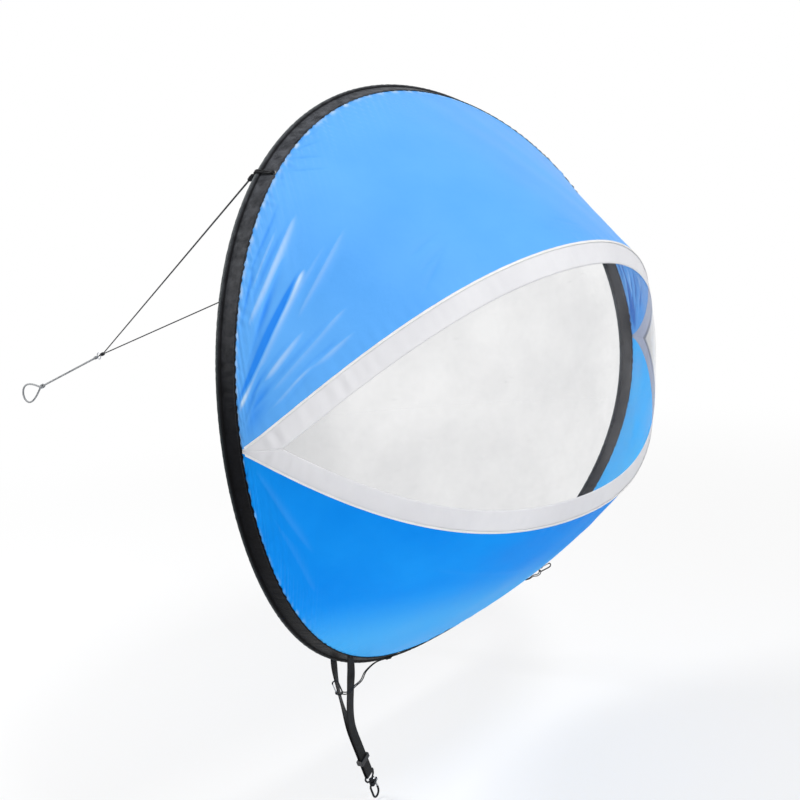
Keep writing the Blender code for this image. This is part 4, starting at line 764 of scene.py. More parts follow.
# %% Window border
def window_band(name, side):
    """White border along the upper (1) or lower (-1) seam, from the seam to the pane's opening."""
    turn = np.linspace(TIP_TURN, pi - TIP_TURN, 361)
    edge = np.minimum(0.5, BORDER_WIDTH / window_height(turn))
    t, q = np.meshgrid(turn, np.linspace(0, 1, 13), indexing="ij")
    share = q * edge[:, None] if side > 0 else 1 - q * edge[:, None]
    points = window_place(t, share)
    normal = grid_normals(window_place(t, np.clip(share, 0.004, 0.996)))
    far = np.linalg.norm(points - points[:, :1], axis=-1)
    run = travel(points[:, 0])[:, None]
    lift = 0.0005 * ripples(run + far * 0.3, 0.021, 50 + side) * np.sin(pi * q) ** 0.7
    points = points + normal * (CLOTH / 2 + lift)[..., None]
    return sheet_piece(name, points, white_cloth, inside=white_inside_painted_shade)


upper_band = window_band("upper_border", 1)
lower_band = window_band("lower_border", -1)
for piece in (upper_band, lower_band):
    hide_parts("window_border")
print("border:", BORDER_WIDTH * 1000, "mm wide")

# %% Vinyl
vinyl, shader = new_material("clear_vinyl_sheet", roughness=0.12, ior=1.53, specular_ior_level=0.2)
coords = add_node(vinyl, "TexCoord").outputs["Object"]
clouds = add_node(vinyl, "TexNoise", in_0=coords, scale=7.0, detail=5.0, roughness=0.6)
slant = add_node(vinyl, "Mapping", in_0=coords, in_2=(0.0, radians(-24), 0.0), in_3=(30.0, 30.0, 260.0))
marks = add_node(vinyl, "TexNoise", in_0=slant, scale=1.0, detail=2.0, roughness=0.5)
scratch = add_node(vinyl, "MapRange", in_0=marks, in_1=0.70, in_2=0.78)
haze = add_node(vinyl, "MapRange", in_0=clouds, in_1=0.34, in_2=0.66, in_3=0.08, in_4=0.18)
to_side = add_node(vinyl, "Math", "ABSOLUTE", in_0=add_node(vinyl, "SeparateXYZ", vector=coords).outputs["X"])
tips = add_node(vinyl, "MapRange", "SMOOTHSTEP", in_0=to_side, in_1=0.415, in_2=0.475, in_3=0.0, in_4=0.10)
haze = add_node(vinyl, "Math", "ADD", in_0=haze, in_1=tips)
veil = add_node(vinyl, "Math", "MULTIPLY_ADD", in_0=scratch, in_1=0.06, in_2=haze)
grey = add_node(vinyl, "ValToRGB", stops=((0.34, "808186"), (0.66, "97989D")), in_0=clouds)
wave = add_node(vinyl, "Bump", strength=0.10, distance=0.006, height=clouds)
fill(vinyl, shader, base_color=grey, alpha=veil, normal=wave)
print("vinyl:", len(vinyl.node_tree.nodes), "nodes")

# %% Pane
margin = BORDER_WIDTH - PANE_OVERLAP
turn = np.linspace(TIP_TURN, pi - TIP_TURN, 721)
turn = turn[window_height(turn) > 2.02 * margin][::3]
edge = (margin / window_height(turn))[:, None]
t, q = np.meshgrid(turn, np.linspace(0, 1, 61), indexing="ij")
points = window_place(t, edge + (1 - 2 * edge) * q)
lift = 0.0009 * ripples(points[..., 0] + points[..., 2] * 0.6, 0.16, 77, 6) * np.sin(pi * q) ** 0.5
points = points + grid_normals(points) * (lift - CLOTH)[..., None]
pane = sheet_piece("pane", points, vinyl, 0.0003)
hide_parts("window_pane")
print("pane:", len(pane.data.polygons), "quads")

# %% [markdown]
# ## Seam tapes
# A folded white tape covers each of the window's seams, sewn along both edges. It is bright and thick beside the thin
# cloths. A flat band could float over the seam, but the cloths meet there at an angle, so one half of the narrow strip
# follows the blue cloth and the other half the border. The tape is ribbed every millimetre and has a soft sheen.

# %% Tape material
white_tape, shader = new_material("white_woven_tape", roughness=0.6, sheen_weight=0.3)
coords = add_node(white_tape, "TexCoord").outputs
along = add_node(white_tape, "SeparateXYZ", vector=coords["UV"]).outputs["X"]
rib = add_node(white_tape, "Math", "MULTIPLY", in_0=along, in_1=2 * pi / 0.0011)
rib = add_node(white_tape, "Math", "SINE", in_0=rib)
bump = add_node(white_tape, "Bump", strength=0.35, distance=0.0002, height=rib)
dust = add_node(white_tape, "TexNoise", in_0=coords["Object"], scale=30.0, detail=3.0)
white = add_node(white_tape, "ValToRGB", stops=((0.35, "EEEEED"), (0.7, "FAFAFA")), in_0=dust)
fill(white_tape, shader, base_color=white, normal=bump)
print("tape:", len(white_tape.node_tree.nodes), "nodes")


# %% Seam tapes
def seam_sides(turn, place, side):
    """The way from a seam into the blue cloth and the way into the border, each with its outward direction."""
    run = unit(np.gradient(place, axis=0))
    near = np.full(len(turn), 0.03 if side > 0 else 0.97)
    for target in (panel_place(turn, side, np.full(len(turn), 0.93)), window_place(turn, near)):
        way = unit(target - place)
        yield way, facing_out(np.cross(run, way), place)


def seam_tape(name, side):
    """White tape over the upper (1) or lower (-1) seam."""
    turn = np.linspace(TIP_TURN, pi - TIP_TURN, 361)
    place = seam(turn, side)
    keep = abs(on_sleeve(TIP_TURN, SLEEVE_WIDTH, 0.0)[0]) - np.abs(place[:, 0]) > 0.0015
    turn, place = turn[keep], place[keep]
    panel, window = seam_sides(turn, place, side)
    middle = unit(panel[1] + window[1])
    wave = 1 + 0.05 * ripples(travel(place), 0.03, 90 + side, 6)
    half = (np.minimum(TAPE_SEEN / 2, window_height(turn) * 0.42) * wave)[:, None]
    rows = []
    for w in (1, 0.86, 0.5, 0.16, -0.16, -0.5, -0.86, -1):
        way, out = panel if w > 0 else window
        blend = min(abs(w) * 2.5, 1)
        out = unit(middle * (1 - blend) + out * blend)
        rows.append(place + way * abs(w) * half + out * (CLOTH + (0.0007 if abs(w) < 0.9 else 0.0004)))
    return sheet_piece(name, np.stack(rows, 1), white_tape)


for name, side in (("upper", 1), ("lower", -1)):
    tape = seam_tape(name + "_tape", side)
    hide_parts(name + "_seam_tape")
    print(name, "tape", round(cuts[tape.name][1], 3), "m long")

# %% [markdown]
# ## Sleeve
# One strip of black satin-weave polyester is folded round the rod, and both its edges are sewn to the blue cloth. The
# round part, which the rod fills, is painted greyer as a painted highlight; just inside it the strip turns down into a
# crease that is painted dark as painted shade. The flat part is nearly black, and puckers where the needle pulled it,
# because a straight strip was sewn to a curve. Its upper half is painted lighter as painted sky light. One tube with a
# fin could stand for both layers, but then the fold round the rod and the two open edges would be missing, so the
# strip's own line is carried round the hoop.

# %% Sleeve material
sleeve_cloth, shader, colour = woven("black_satin_polyester", "050508", "15161A", 0.42, 0.05, spacing=0.0015,
                                     depth=0.4, cloud=42.0)
coords = add_node(sleeve_cloth, "TexCoord").outputs
dust = add_node(sleeve_cloth, "TexNoise", in_0=coords["Object"], scale=60.0, detail=3.0, roughness=0.6)
# Painted sky light: the flat part is painted lighter and mottled grey towards the top, as if lit from above
height = add_node(sleeve_cloth, "SeparateXYZ", vector=coords["Object"]).outputs["Z"]
sky_light_mask = add_node(sleeve_cloth, "MapRange", "SMOOTHSTEP", in_0=height, in_1=0.50, in_2=1.02)
painted_sky_light = add_node(sleeve_cloth, "ValToRGB", stops=((0.34, "26282C"), (0.68, "505257")), in_0=dust)
flat_part = add_node(sleeve_cloth, "Mix", "RGBA", in_0=sky_light_mask, in_6=colour, in_7=painted_sky_light)

# The UV map's second number runs across the strip from 0 to 1, and the rod lies at a half.
strip = add_node(sleeve_cloth, "SeparateXYZ", vector=coords["UV"]).outputs["Y"]
from_crest = add_node(sleeve_cloth, "Math", "SUBTRACT", in_0=strip, in_1=0.5)
from_crest = add_node(sleeve_cloth, "Math", "ABSOLUTE", in_0=from_crest)
# Painted highlight: the round part over the rod is painted grey, and lighter towards the top
round_part = add_node(sleeve_cloth, "MapRange", "SMOOTHSTEP", in_0=from_crest, in_1=0.125, in_2=0.085)
rolled = add_node(sleeve_cloth, "Mix", "RGBA", in_0=sky_light_mask, in_6=linear("32383A"), in_7=linear("55595B"))
with_rim_highlight = add_node(sleeve_cloth, "Mix", "RGBA", in_0=round_part, in_6=flat_part, in_7=rolled)
# Painted shade: a dark band is painted in the crease just inside the round part
from_neck = add_node(sleeve_cloth, "Math", "SUBTRACT", in_0=from_crest, in_1=0.155)
from_neck = add_node(sleeve_cloth, "Math", "ABSOLUTE", in_0=from_neck)
crease_shade_mask = add_node(sleeve_cloth, "MapRange", "SMOOTHSTEP", in_0=from_neck, in_1=0.038, in_2=0.008, in_3=0.0, in_4=0.85)
painted_crease_shade = add_node(sleeve_cloth, "Mix", "RGBA", in_0=crease_shade_mask, in_6=with_rim_highlight, in_7=linear("08080A"))
fill(sleeve_cloth, shader, base_color=painted_crease_shade)
print("sleeve cloth:", len(sleeve_cloth.node_tree.nodes), "nodes")


# %% Sleeve
RIM_STEPS, BEND_STEPS, FLAT_STEPS = 960, 18, 9


def sleeve_profile():
    """Strip's line: edge, outer layer, round the rod, inner layer, edge."""
    radius = CHANNEL - THIN
    mouth = np.arcsin(LAYER_OFFSET / radius)
    flat = np.linspace(SLEEVE_WIDTH, radius * cos(mouth), FLAT_STEPS)
    turn = np.linspace(mouth, 2 * pi - mouth, BEND_STEPS + 1)[1:-1]
    outer = [(a, LAYER_OFFSET) for a in flat]
    inner = [(a, -LAYER_OFFSET) for a in flat[::-1]]
    return np.array(outer + [(radius * cos(a), radius * sin(a)) for a in turn] + inner)


turn = np.linspace(0, 2 * pi, RIM_STEPS, endpoint=False)
profile = sleeve_profile()
rod, across, outward, _ = rim(turn)
round_run = turn * HOOP_RADIUS
fade = np.minimum(1, np.minimum(turn, 2 * pi - turn) / 0.05)      # the strip's two ends meet smoothly
pucker = ripples(round_run, 0.013, 5) * fade
points = np.empty((RIM_STEPS, len(profile), 3))
for k, (a, b) in enumerate(profile):
    on_flat = max(0.0, (a - CHANNEL) / (SLEEVE_WIDTH - CHANNEL))
    amount = 0.00035 * on_flat ** 0.5 * (1 if a < SLEEVE_WIDTH - 0.001 else 0.5)
    ripple = amount * (pucker + 0.6) if b > 0 else -amount * (0.8 * pucker + 0.6)
    edge = 0.0011 * pucker * on_flat ** 3
    rough = 0.00018 * ripples(round_run * 1.3, 0.019, 300 + k // 3) * fade * (a < CHANNEL)
    length = 1 + rough / CHANNEL
    points[:, k] = rod + across * (a * length + edge)[:, None] + outward * (b * length + ripple)[:, None]
step = travel(profile)
sleeve = new_piece("sleeve", points, quads(RIM_STEPS, len(profile), round_rows=True).tolist(), sleeve_cloth)
map_points(sleeve, np.stack(np.broadcast_arrays(round_run[:, None], step / step[-1]), -1))
cuts["sleeve"] = step[-1], 2 * pi * HOOP_RADIUS, step[-1] * 2 * pi * HOOP_RADIUS
wall = sleeve.modifiers.new("Solidify", "SOLIDIFY")
wall.thickness, wall.offset = 0.0005, 0
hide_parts("rim_sleeve")
print("sleeve:", len(sleeve.data.polygons), "quads")

# %% [markdown]
# ## Stitches
# A sewing machine leaves a row of short threads that dip into the cloth at each end. They could be painted on as
# dashes, but real threads catch the light. Each one here is a tiny arched bar of a few faces, and a whole row is one
# mesh, so hundreds of stitches stay light. The thread is twisted polyester with a soft gloss.


# %% Stitches
STITCH_SHARE, THREAD, THREAD_SIDES = 0.78, 0.00032, 5
SLEEVE_INSET, SLEEVE_PITCH = 0.0035, 0.0042
ARCH = ((-0.5, -0.4), (-0.3, 0.55), (0.3, 0.55), (0.5, -0.4))      # place along a stitch, and lift in threads


def thread(name, low, high, roughness):
    material, shader = new_material(name, roughness=roughness)
    twist = add_node(material, "TexNoise", in_0=add_node(material, "TexCoord").outputs["Object"], scale=900.0)
    fill(material, shader, base_color=add_node(material, "ValToRGB", stops=((0.3, low), (0.7, high)), in_0=twist))
    return material


def stitch_row(name, line, out, look, pitch=0.0036):
    """Arched threads along a line of points, standing on the side that out points to."""
    step = travel(line)
    bar = quads(len(ARCH), THREAD_SIDES, round_columns=True)
    points, faces = [], []
    for k in range(int(step[-1] / pitch)):
        base = len(points)
        for place, lift in ARCH:
            at = (k + 0.5 + place * STITCH_SHARE) * pitch
            centre, ahead, up = (np.array([np.interp(x, step, values[:, i]) for i in range(3)])
                                 for x, values in ((at, line), (at + 0.0005, line), (at, out)))
            up = unit(up)
            aside = np.cross(unit(ahead - centre), up)
            points += [centre + (up * (lift + sin(a) * 0.55) + aside * cos(a) * 0.55) * THREAD
                       for a in (2 * pi * m / THREAD_SIDES for m in range(THREAD_SIDES))]
        faces += (bar + base).tolist()
        faces += [list(range(base, base + THREAD_SIDES))[::-1], list(range(len(points) - THREAD_SIDES, len(points)))]
    return new_piece(name, points, faces, look, shell=True)


thread_white = thread("white_polyester_thread", "D8D8D6", "F6F6F4", 0.5)
thread_black = thread("black_polyester_thread", "1A1B1E", "33353A", 0.45)
rod, across, outward, _ = rim(np.linspace(0, 2 * pi, 961))
for name, way in (("sleeve_stitches_out", 1), ("sleeve_stitches_in", -1)):
    line = rod + across * (SLEEVE_WIDTH - SLEEVE_INSET) + outward * way * (LAYER_OFFSET + 0.0006)
    row = stitch_row(name, line, outward * way, thread_black, pitch=SLEEVE_PITCH)
    print(name, len(row.data.polygons), "faces")
turn = np.linspace(0.1, pi - 0.1, 361)
for name, side in (("upper", 1), ("lower", -1)):
    place = seam(turn, side)
    for label, (way, out) in zip(("cloth", "border"), seam_sides(turn, place, side)):
        line = place + way * TAPE_SEEN / 2 * 0.66 + out * (CLOTH + 0.0009)
        row = stitch_row(f"{name}_tape_stitches_{label}", line, out, thread_white)
        print(row.name, len(row.data.polygons), "faces")

# %% [markdown]
# ## Ties
# Each line and each thin tether is tied through a brass-plated eyelet: the cord goes round the sleeve, twice for a line
# and once for a tether. A ring laid round the sleeve would cut through it, so the loop is the same cord carried round
# the sleeve's section: over the eyelet's lip, straight over the flat part and round the rod.

# %% Ties
TETHER, TETHER_TURN = 0.002, radians(254.5)
EYELET_INSET, EYELET_RADIUS, EYELET_RISE = 0.005, 0.004, 0.0005


def tie_round_sleeve(name, turn, cord, look, node):
    """A closed loop of cord through an eyelet and round the rod."""
    hole, lip = SLEEVE_WIDTH - EYELET_INSET, EYELET_RADIUS
    flat, over = FLANGE_HALF + GAP + cord / 2, FLANGE_HALF + 2 * GAP + EYELET_RISE + cord / 2
    radius, down = CHANNEL + GAP + cord / 2, hole - lip - 2 * cord
    side = [(hole, over - cord * 0.4), (hole - cord * 0.35, over), (hole - lip, over), (down, flat)]
    start = atan2(flat, down) + acos(radius / hypot(down, flat))
    arc = [(radius * cos(start + (2 * pi - 2 * start) * k / 8), radius * sin(start + (2 * pi - 2 * start) * k / 8))
           for k in range(9)]
    outline = [(hole, 0)] + side + arc + [(a, -b) for a, b in reversed(side)]
    rod, across, outward, _ = rim(turn)
    line = smooth_line([rod + across * a + outward * b for a, b in outline], 5, closed=True)
    piece = sweep(name, line, cord / 2, look, closed=True)
    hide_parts(node)
    return piece


for name, turn in (("left", LINE_TURN), ("right", pi - LINE_TURN)):
    for label, shift in (("first", -0.5), ("second", 0.5)):
        tie_round_sleeve(f"{name}_line_{label}_turn", turn + shift * (LINE + 0.0002) / HOOP_RADIUS, LINE, black_cord,
                         name + "_line_tie")
for name, turn in (("left", TETHER_TURN), ("right", 3 * pi - TETHER_TURN)):
    tie_round_sleeve(name + "_tether_loop", turn, TETHER, thin_cord, name + "_tether_tie")
print("ties: two turns for each line, one for each tether")

# %% [markdown]
# ## Foot straps
# Black polyester webbing, 20 mm wide and 1.5 mm thick, makes one loop: through a slot in the sleeve, over its back,
# down both legs, through a two-slot slider and round the hook's eye. Webbing is woven in ribs that slant like a
# herringbone, with a firm rolled edge, and is matt. A ribbon could be bent by a curve, but each leg twists on its way
# down, so every row of the strap has its own place and its own direction across.

# %% Webbing material
webbing, shader = new_material("black_polyester_webbing", roughness=0.55, specular_ior_level=0.16, sheen_weight=0.03)
parts = add_node(webbing, "SeparateXYZ", vector=add_node(webbing, "TexCoord").outputs["UV"]).outputs
slant = add_node(webbing, "Math", "ABSOLUTE", in_0=parts["X"])
slant = add_node(webbing, "Math", "ADD", in_0=slant, in_1=parts["Y"])
waves = []
for way, spacing in ((slant, 0.0022), (parts["X"], 0.0014)):
    turn = add_node(webbing, "Math", "MULTIPLY", in_0=way, in_1=2 * pi / spacing)
    waves.append(add_node(webbing, "Math", "SINE", in_0=turn))
ribs = add_node(webbing, "Math", "MULTIPLY", in_0=waves[0], in_1=waves[1])
height = add_node(webbing, "MapRange", in_0=ribs, in_1=-1.0, in_2=1.0)
# Painted shade: the grooves between the ribs are painted darker than the ribs
black = add_node(webbing, "ValToRGB", stops=((0.2, "060607"), (0.8, "17181B")), in_0=height)
bump = add_node(webbing, "Bump", strength=0.6, distance=0.0003, height=height)
fill(webbing, shader, base_color=black, normal=bump)
print("webbing:", len(webbing.node_tree.nodes), "nodes")

# %% Strap's route
STRAP_TURN, STRAP_WIDTH, STRAP_THICK, DROP, LEAN, END_LEAN = radians(236.5), 0.020, 0.0015, 0.249, 0.048, 0.30
BEND, EASE, SLOT_INSET, SLIDER_RISE, SLIDER_LENGTH, EYE_WIRE = 0.006, 0.0012, 0.006, 0.036, 0.010, 0.0036
SLIDER_TRAVEL = 0.053            # both legs lie side by side as far as the slider moves up
FRONT_TWISTS, BACK_TWISTS, RIGHT_AFT = (0, 10, 15), (20, 43, 15), radians(58)
strap_top = Vector(rim(STRAP_TURN)[0])
LEG_OFFSET = EYE_WIRE / 2 + GAP + STRAP_THICK / 2


def aft(angle):
    return Matrix.Rotation(angle, 3, "X")


def foot_frame(angle):
    """Left hook bar's placement: X along the strap's width, Z up the strap."""
    bar = strap_top + aft(angle) @ Vector((LEAN, 0, -DROP))
    up = aft(angle) @ Vector((-END_LEAN, 0, 1)).normalized()
    flat = Vector((1, 0, 0))
    flat = Matrix.Rotation(radians(15), 3, up) @ (flat - up * flat.dot(up)).normalized()
    return Matrix((flat, up.cross(flat), up)).transposed(), bar


print("strap hangs", DROP, "m below the hoop's line")


# %% One leg of a strap
def bezier(a, b, c, d, s):
    return a * (1 - s) ** 3 + b * 3 * (1 - s) ** 2 * s + c * 3 * (1 - s) * s ** 2 + d * s ** 3


def twist_at(twists, share):
    """Degrees of twist, which eases from the first value through the second to the third."""
    a, b, c = twists
    if share < 0.5:
        return a + (b - a) * (1 - cos(2 * pi * share)) / 2
    return b + (c - b) * (1 - cos(2 * pi * (share - 0.5))) / 2


def strap_leg(start, top_width, leg_side, twists, angle):
    """Rows of one leg, from the sleeve down to the slider, twisting on the way."""
    turned, bar = foot_frame(angle)
    up, aside = turned.col[2], turned.col[1]
    slider = bar + up * (SLIDER_RISE + SLIDER_LENGTH / 2) + aside * leg_side * LEG_OFFSET
    end = slider + up * SLIDER_TRAVEL
    reach = (end - start).length / 3
    down = aft(angle) @ Vector((0, 0, -1))
    rows = []
    for k in range(1, 10):
        share = k / 9
        flat = Matrix.Rotation(radians(twist_at(twists, share)), 3, up) @ Vector((1, 0, 0))
        fade = min(1.0, share * 4)
        fade = fade * fade * (3 - 2 * fade)
        place = bezier(start, start + down * reach, end + up * reach, end, share)
        rows.append((place, top_width.lerp(flat, fade), True))
    rows += [(end.lerp(slider, k / 3), turned.col[0], True) for k in (1, 2, 3)]
    return rows


# %% Whole loop of a strap
def strap_rows(angle):
    """The whole loop of the left strap: point, width direction and whether that is squared to the run."""
    rod, across, outward, along = [Vector(v) for v in rim(STRAP_TURN)]
    down = aft(angle) @ Vector((0, 0, -1))
    slot = SLEEVE_WIDTH - SLOT_INSET
    lie, radius = FLANGE_HALF + EASE + STRAP_THICK / 2, CHANNEL + EASE + STRAP_THICK / 2
    swing = atan2(-down.dot(across), down.dot(outward))
    line = [(slot - BEND + BEND * cos(swing * k / 3), BEND * sin(swing * k / 3)) for k in (3, 2, 1, 0)]
    line += [(slot - lie + lie * cos(pi / 2 * k / 4), -lie * sin(pi / 2 * k / 4)) for k in (1, 2, 3, 4)]
    line.append((2 * radius, -lie))
    first = atan2(lie, 2 * radius) + acos(radius / hypot(2 * radius, lie))
    last = atan2(-down.dot(across), -down.dot(outward))
    count = max(1, ceil((last - first) / radians(22)))
    line += [(radius * cos(first + (last - first) * k / count), -radius * sin(first + (last - first) * k / count))
             for k in range(count + 1)]
    arch = [(rod + across * a + outward * b, along, False) for a, b in line]
    front = strap_leg(arch[0][0], along, -1, FRONT_TWISTS, angle)
    back = strap_leg(arch[-1][0], along, 1, BACK_TWISTS, angle)
    turned, bar = foot_frame(angle)
    flat, aside, up = turned.col
    below = SLIDER_RISE - SLIDER_LENGTH / 2
    under = [(bar + up * below + aside * LEG_OFFSET, flat, True)]
    under += [(bar + (aside * cos(-pi * k / 6) + up * sin(-pi * k / 6)) * LEG_OFFSET, flat, True) for k in range(7)]
    under += [(bar + up * below - aside * LEG_OFFSET, flat, True)]
    return arch + back + under + list(reversed(front))


print("strap's loop:", len(strap_rows(0)), "rows")


# %% Straps
def strap_piece(name, angle, side, node):
    """The left strap's loop with its thickness, swung by an angle, kept (1) or mirrored to the right (-1)."""
    rows = strap_rows(angle)
    middle, edge = [], []
    for k, (point, width, square) in enumerate(rows):
        run = (rows[(k + 1) % len(rows)][0] - rows[k - 1][0]).normalized()
        width = (width - run * width.dot(run)).normalized() if square else width
        middle.append(point)
        edge.append(point + width * STRAP_WIDTH / 2)
    middle, edge = smooth_line(middle, 4, closed=True), smooth_line(edge, 4, closed=True)
    width = unit(edge - middle)
    thick = unit(np.cross(np.roll(middle, -1, 0) - np.roll(middle, 1, 0), width))
    half, t = STRAP_WIDTH / 2, STRAP_THICK / 2
    ring = [(w, t) for w in np.linspace(-half * 0.94, half * 0.94, 9)] + [(half, t * 0.35), (half, -t * 0.35)]
    ring += [(-w, -h) for w, h in ring]
    points = np.stack([middle + width * w + thick * h for w, h in ring], 1)
    points[..., 0] *= side
    faces = quads(len(middle), len(ring), round_rows=True, round_columns=True)
    piece = new_piece(name, points, faces[:, ::side].tolist(), webbing, body=None, shell=True)
    map_points(piece, np.stack(np.broadcast_arrays([w for w, _ in ring], travel(middle)[:, None]), -1))
    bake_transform(piece)
    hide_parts(node)
    return piece


left_strap = strap_piece("left_strap", 0, 1, "left_foot_strap")
right_strap = strap_piece("right_strap", RIGHT_AFT, -1, "right_foot_strap")
print("straps:", len(left_strap.data.polygons), "and", len(right_strap.data.polygons), "quads")

# %% [markdown]
# ## Tethers
# A thin doubled cord runs from a tie near the foot to a small clip beside each strap. Its two strands lie side by side
# and turn round the clip's wire in a hairpin. Two separate cords would need two ends at the clip, so one line goes out
# along one strand, round the wire and back along the other.

# %% Tethers
CLIP_OFFSET, CLIP_TILT, CLIP_FACING = Vector((-0.0352, -0.0362, -0.0310)), radians(-19), radians(133)
CLIP_LENGTH, CLIP_WIDTH, CLIP_WIRE, HAIRPIN_TURN = 0.034, 0.013, 0.0026, radians(-150)
CLIP_HALF = CLIP_WIDTH / 2 - CLIP_WIRE / 2
CLIP_REACH = CLIP_LENGTH / 2 - CLIP_WIRE / 2 - CLIP_HALF
TETHER_KNOT, KNOT_ACROSS, STRANDS_APART = 0.008, 0.0055, 0.0014
TETHER_SHARES = (0.256, 0.454, 0.668, 0.812, 0.902)
TETHER_OFFSETS = ((0, 0.0057, 0.0031), (0, 0.0058, -0.0030), (0, -0.0122, -0.0024), (0, -0.0155, -0.0039),
                  (0, -0.0130, -0.0098))


def clip_frame(angle):
    """Placement of the left clip, whose wire the tether goes round."""
    turned = aft(angle) @ Matrix.Rotation(CLIP_TILT, 3, "Y") @ Matrix.Rotation(CLIP_FACING, 3, "Z")
    return Matrix.Translation(strap_top + aft(angle) @ CLIP_OFFSET) @ turned.to_4x4()


def tether_piece(name, angle, side):
    """The left tether and its knot, swung by an angle, kept (1) or mirrored to the right (-1)."""
    rod, across, outward, run = [Vector(v) for v in rim(TETHER_TURN)]
    lie = FLANGE_HALF + 2 * GAP + KNOT_ACROSS / 2
    start = rod + across * CHANNEL * 2 + outward * lie - run * (TETHER / 2 + GAP)
    route = []
    for k, (share, offset) in enumerate(zip(TETHER_SHARES, TETHER_OFFSETS)):
        place = start.lerp(strap_top + CLIP_OFFSET, share) + Vector(offset)
        route.append(strap_top + aft(angle * min(1.0, k / 4 * 1.4)) @ (place - strap_top))
    way = (route[0] - start).normalized()
    clip = clip_frame(angle)
    wire = Vector((CLIP_HALF * cos(HAIRPIN_TURN), 0, -CLIP_REACH + CLIP_HALF * sin(HAIRPIN_TURN)))
    inward = -Vector((cos(HAIRPIN_TURN), 0, sin(HAIRPIN_TURN)))
    bend = CLIP_WIRE / 2 + GAP + TETHER / 2
    hairpin = [clip @ (wire + (inward * cos(a) + Vector((0, 1, 0)) * sin(a)) * bend)
               for a in (-pi / 2 + pi * k / 12 for k in range(13))]
    out = clip @ (wire - inward * CLIP_WIRE * 1.5)
    middle = [Vector(p) for p in smooth_line([start + way * (TETHER_KNOT + 3 * GAP)] + route + [out], 6)]
    apart, spread, last = across.copy(), clip.to_3x3() @ Vector((0, 1, 0)), len(middle) - 1
    if apart.dot(spread) < 0:
        apart.negate()
    strands = [[], []]
    for k, p in enumerate(middle):
        along = clip.to_3x3() @ inward if k == last else (middle[k + 1] - middle[max(k - 1, 0)]).normalized()
        aside = apart.lerp(spread, k / last)
        aside = (aside - along * aside.dot(along)).normalized()
        aside *= STRANDS_APART + (bend - STRANDS_APART) * (k / last) ** 4
        strands[0].append(p - aside)
        strands[1].append(p + aside)
    line = [mirrored(p, side) for p in strands[0] + hairpin + strands[1][::-1]]
    piece = sweep(name + "_cord", line, TETHER / 2, thin_cord, body=None, sides=8)
    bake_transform(piece)
    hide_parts(name)
    wound_knot(name + "_wound_knot", mirrored(start + way * TETHER_KNOT / 2, side), mirrored(way, side),
               TETHER_KNOT, KNOT_ACROSS, TETHER * 0.8, 4, thin_cord, name + "_knot")


tether_piece("left_tether", 0, 1)
tether_piece("right_tether", RIGHT_AFT, -1)
print("tethers:", TETHER * 1000, "mm cord, doubled")

# %% [markdown]
# ## Metal and plastic fittings
# The snap hooks and clips are cast zinc, blackened, with spring gates of bright steel wire. The sliders are moulded
# acetal with a fine matt grain. The eyelets are plated brass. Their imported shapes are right, so they keep them and only
# get their real finish: blackening leaves zinc satin and nearly black, drawn wire is bright with a fine grain, nickel
# plate is the smoothest, and acetal comes out of a matt mould.


# %% Fitting materials
def metal(name, low, high, rough, grain, bump=0.1, metallic=1.0):
    """Metal or moulded plastic with a slightly uneven finish."""
    material, shader = new_material(name, metallic=metallic)
    coords = add_node(material, "TexCoord").outputs["Object"]
    noise = add_node(material, "TexNoise", in_0=coords, scale=grain, detail=4.0, roughness=0.6)
    colour = add_node(material, "ValToRGB", stops=((0.3, low), (0.7, high)), in_0=noise)
    uneven = add_node(material, "MapRange", in_0=noise, in_1=0.3, in_2=0.7, in_3=rough * 0.8, in_4=rough * 1.25)
    surface = add_node(material, "Bump", strength=bump, distance=0.0002, height=noise)
    fill(material, shader, base_color=colour, roughness=uneven, normal=surface)
    return material


blackened = metal("blackened_cast_zinc", "1E1F22", "34363A", 0.42, 900.0, 0.25)
wire_steel = metal("bright_spring_steel", "9C9EA3", "BDBFC3", 0.28, 500.0)
plated = metal("nickel_plated_brass", "A3A29C", "C4C2BA", 0.22, 400.0)
aluminium = metal("drawn_aluminium_tube", "A9ABAE", "C9CBCE", 0.34, 300.0)
acetal = metal("black_moulded_acetal", "121315", "1C1D20", 0.46, 2200.0, 0.3, metallic=0.0)
glass_rod = metal("pultruded_fibreglass", "C9C3A4", "DAD6C0", 0.4, 700.0, 0.3, metallic=0.0)

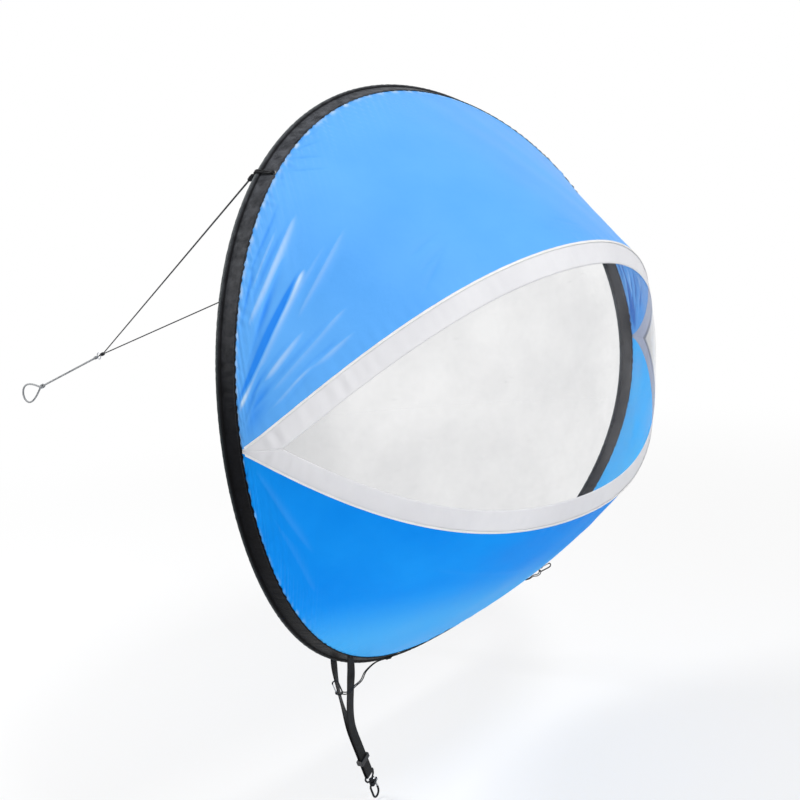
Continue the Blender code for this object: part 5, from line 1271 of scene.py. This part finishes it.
finishes = {"hoop_ferrule": aluminium, "hoop_rod": glass_rod}
for side in ("left", "right"):
    finishes.update({side + "_eyelet": plated, side + "_tether_eyelet": plated, side + "_strap_slider": acetal,
                     side + "_hook_eye": blackened, side + "_hook": blackened, side + "_hook_pin": wire_steel,
                     side + "_hook_gate": wire_steel, side + "_clip": blackened, side + "_clip_gate": wire_steel})
for name, look in finishes.items():
    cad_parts[name].data.materials.clear()
    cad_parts[name].data.materials.append(look)
print("finished", len(finishes), "packed fittings")

# %% [markdown]
# ## Ring
# The steel ring is bent from round wire and welded shut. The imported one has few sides, which a close look would show. A
# ready torus would do, but it is made here as the wire is: a round section, spun once about the ring's axis, with its
# two ends merged.

# %% Ring
bpy.ops.mesh.primitive_circle_add(vertices=20, radius=RING_WIRE / 2, enter_editmode=True,
                                  location=ring_place + Vector((0, (RING - RING_WIRE) / 2, 0)))
bpy.ops.mesh.spin(steps=64, angle=2 * pi, center=ring_place, axis=(1, 0, 0))
bpy.ops.mesh.select_all(action="SELECT")
bpy.ops.mesh.remove_doubles(threshold=0.00001)
bpy.ops.mesh.normals_make_consistent(inside=False)
bpy.ops.object.mode_set(mode="OBJECT")
bpy.ops.object.transform_apply(location=True)
bpy.ops.object.shade_smooth()
ring = bpy.context.object
ring.name = "ring"
ring.data.materials.append(wire_steel)
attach(ring, "sail")
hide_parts("bridle_ring")
print("ring:", len(ring.data.vertices), "points,", len(ring.data.polygons), "faces")

# %% [markdown]
# ## Cut sizes
# Each cloth prints its cut width, length and area.

# %% Soft pieces
for name in ("left", "right"):
    piece, line, way = bridle[name]

for piece, rest, with_pieces in (
        (sleeve, ["hoop_rod"], ["sleeve_stitches_out", "sleeve_stitches_in"]),
        (upper_cloth, ["sleeve"], ["upper_tape", "upper_tape_stitches_cloth"]),
        (lower_cloth, ["sleeve"], ["lower_tape", "lower_tape_stitches_cloth"]),
        (upper_band, ["upper_cloth"], ["upper_tape_stitches_border"]),
        (lower_band, ["lower_cloth"], ["lower_tape_stitches_border"]),
        (pane, ["upper_border", "lower_border"], [])):
    width, length, area = cuts[piece.name]
    print(piece.name, "cut", round(width, 3), "x", round(length, 3), "m, area", round(area, 3), "m2")
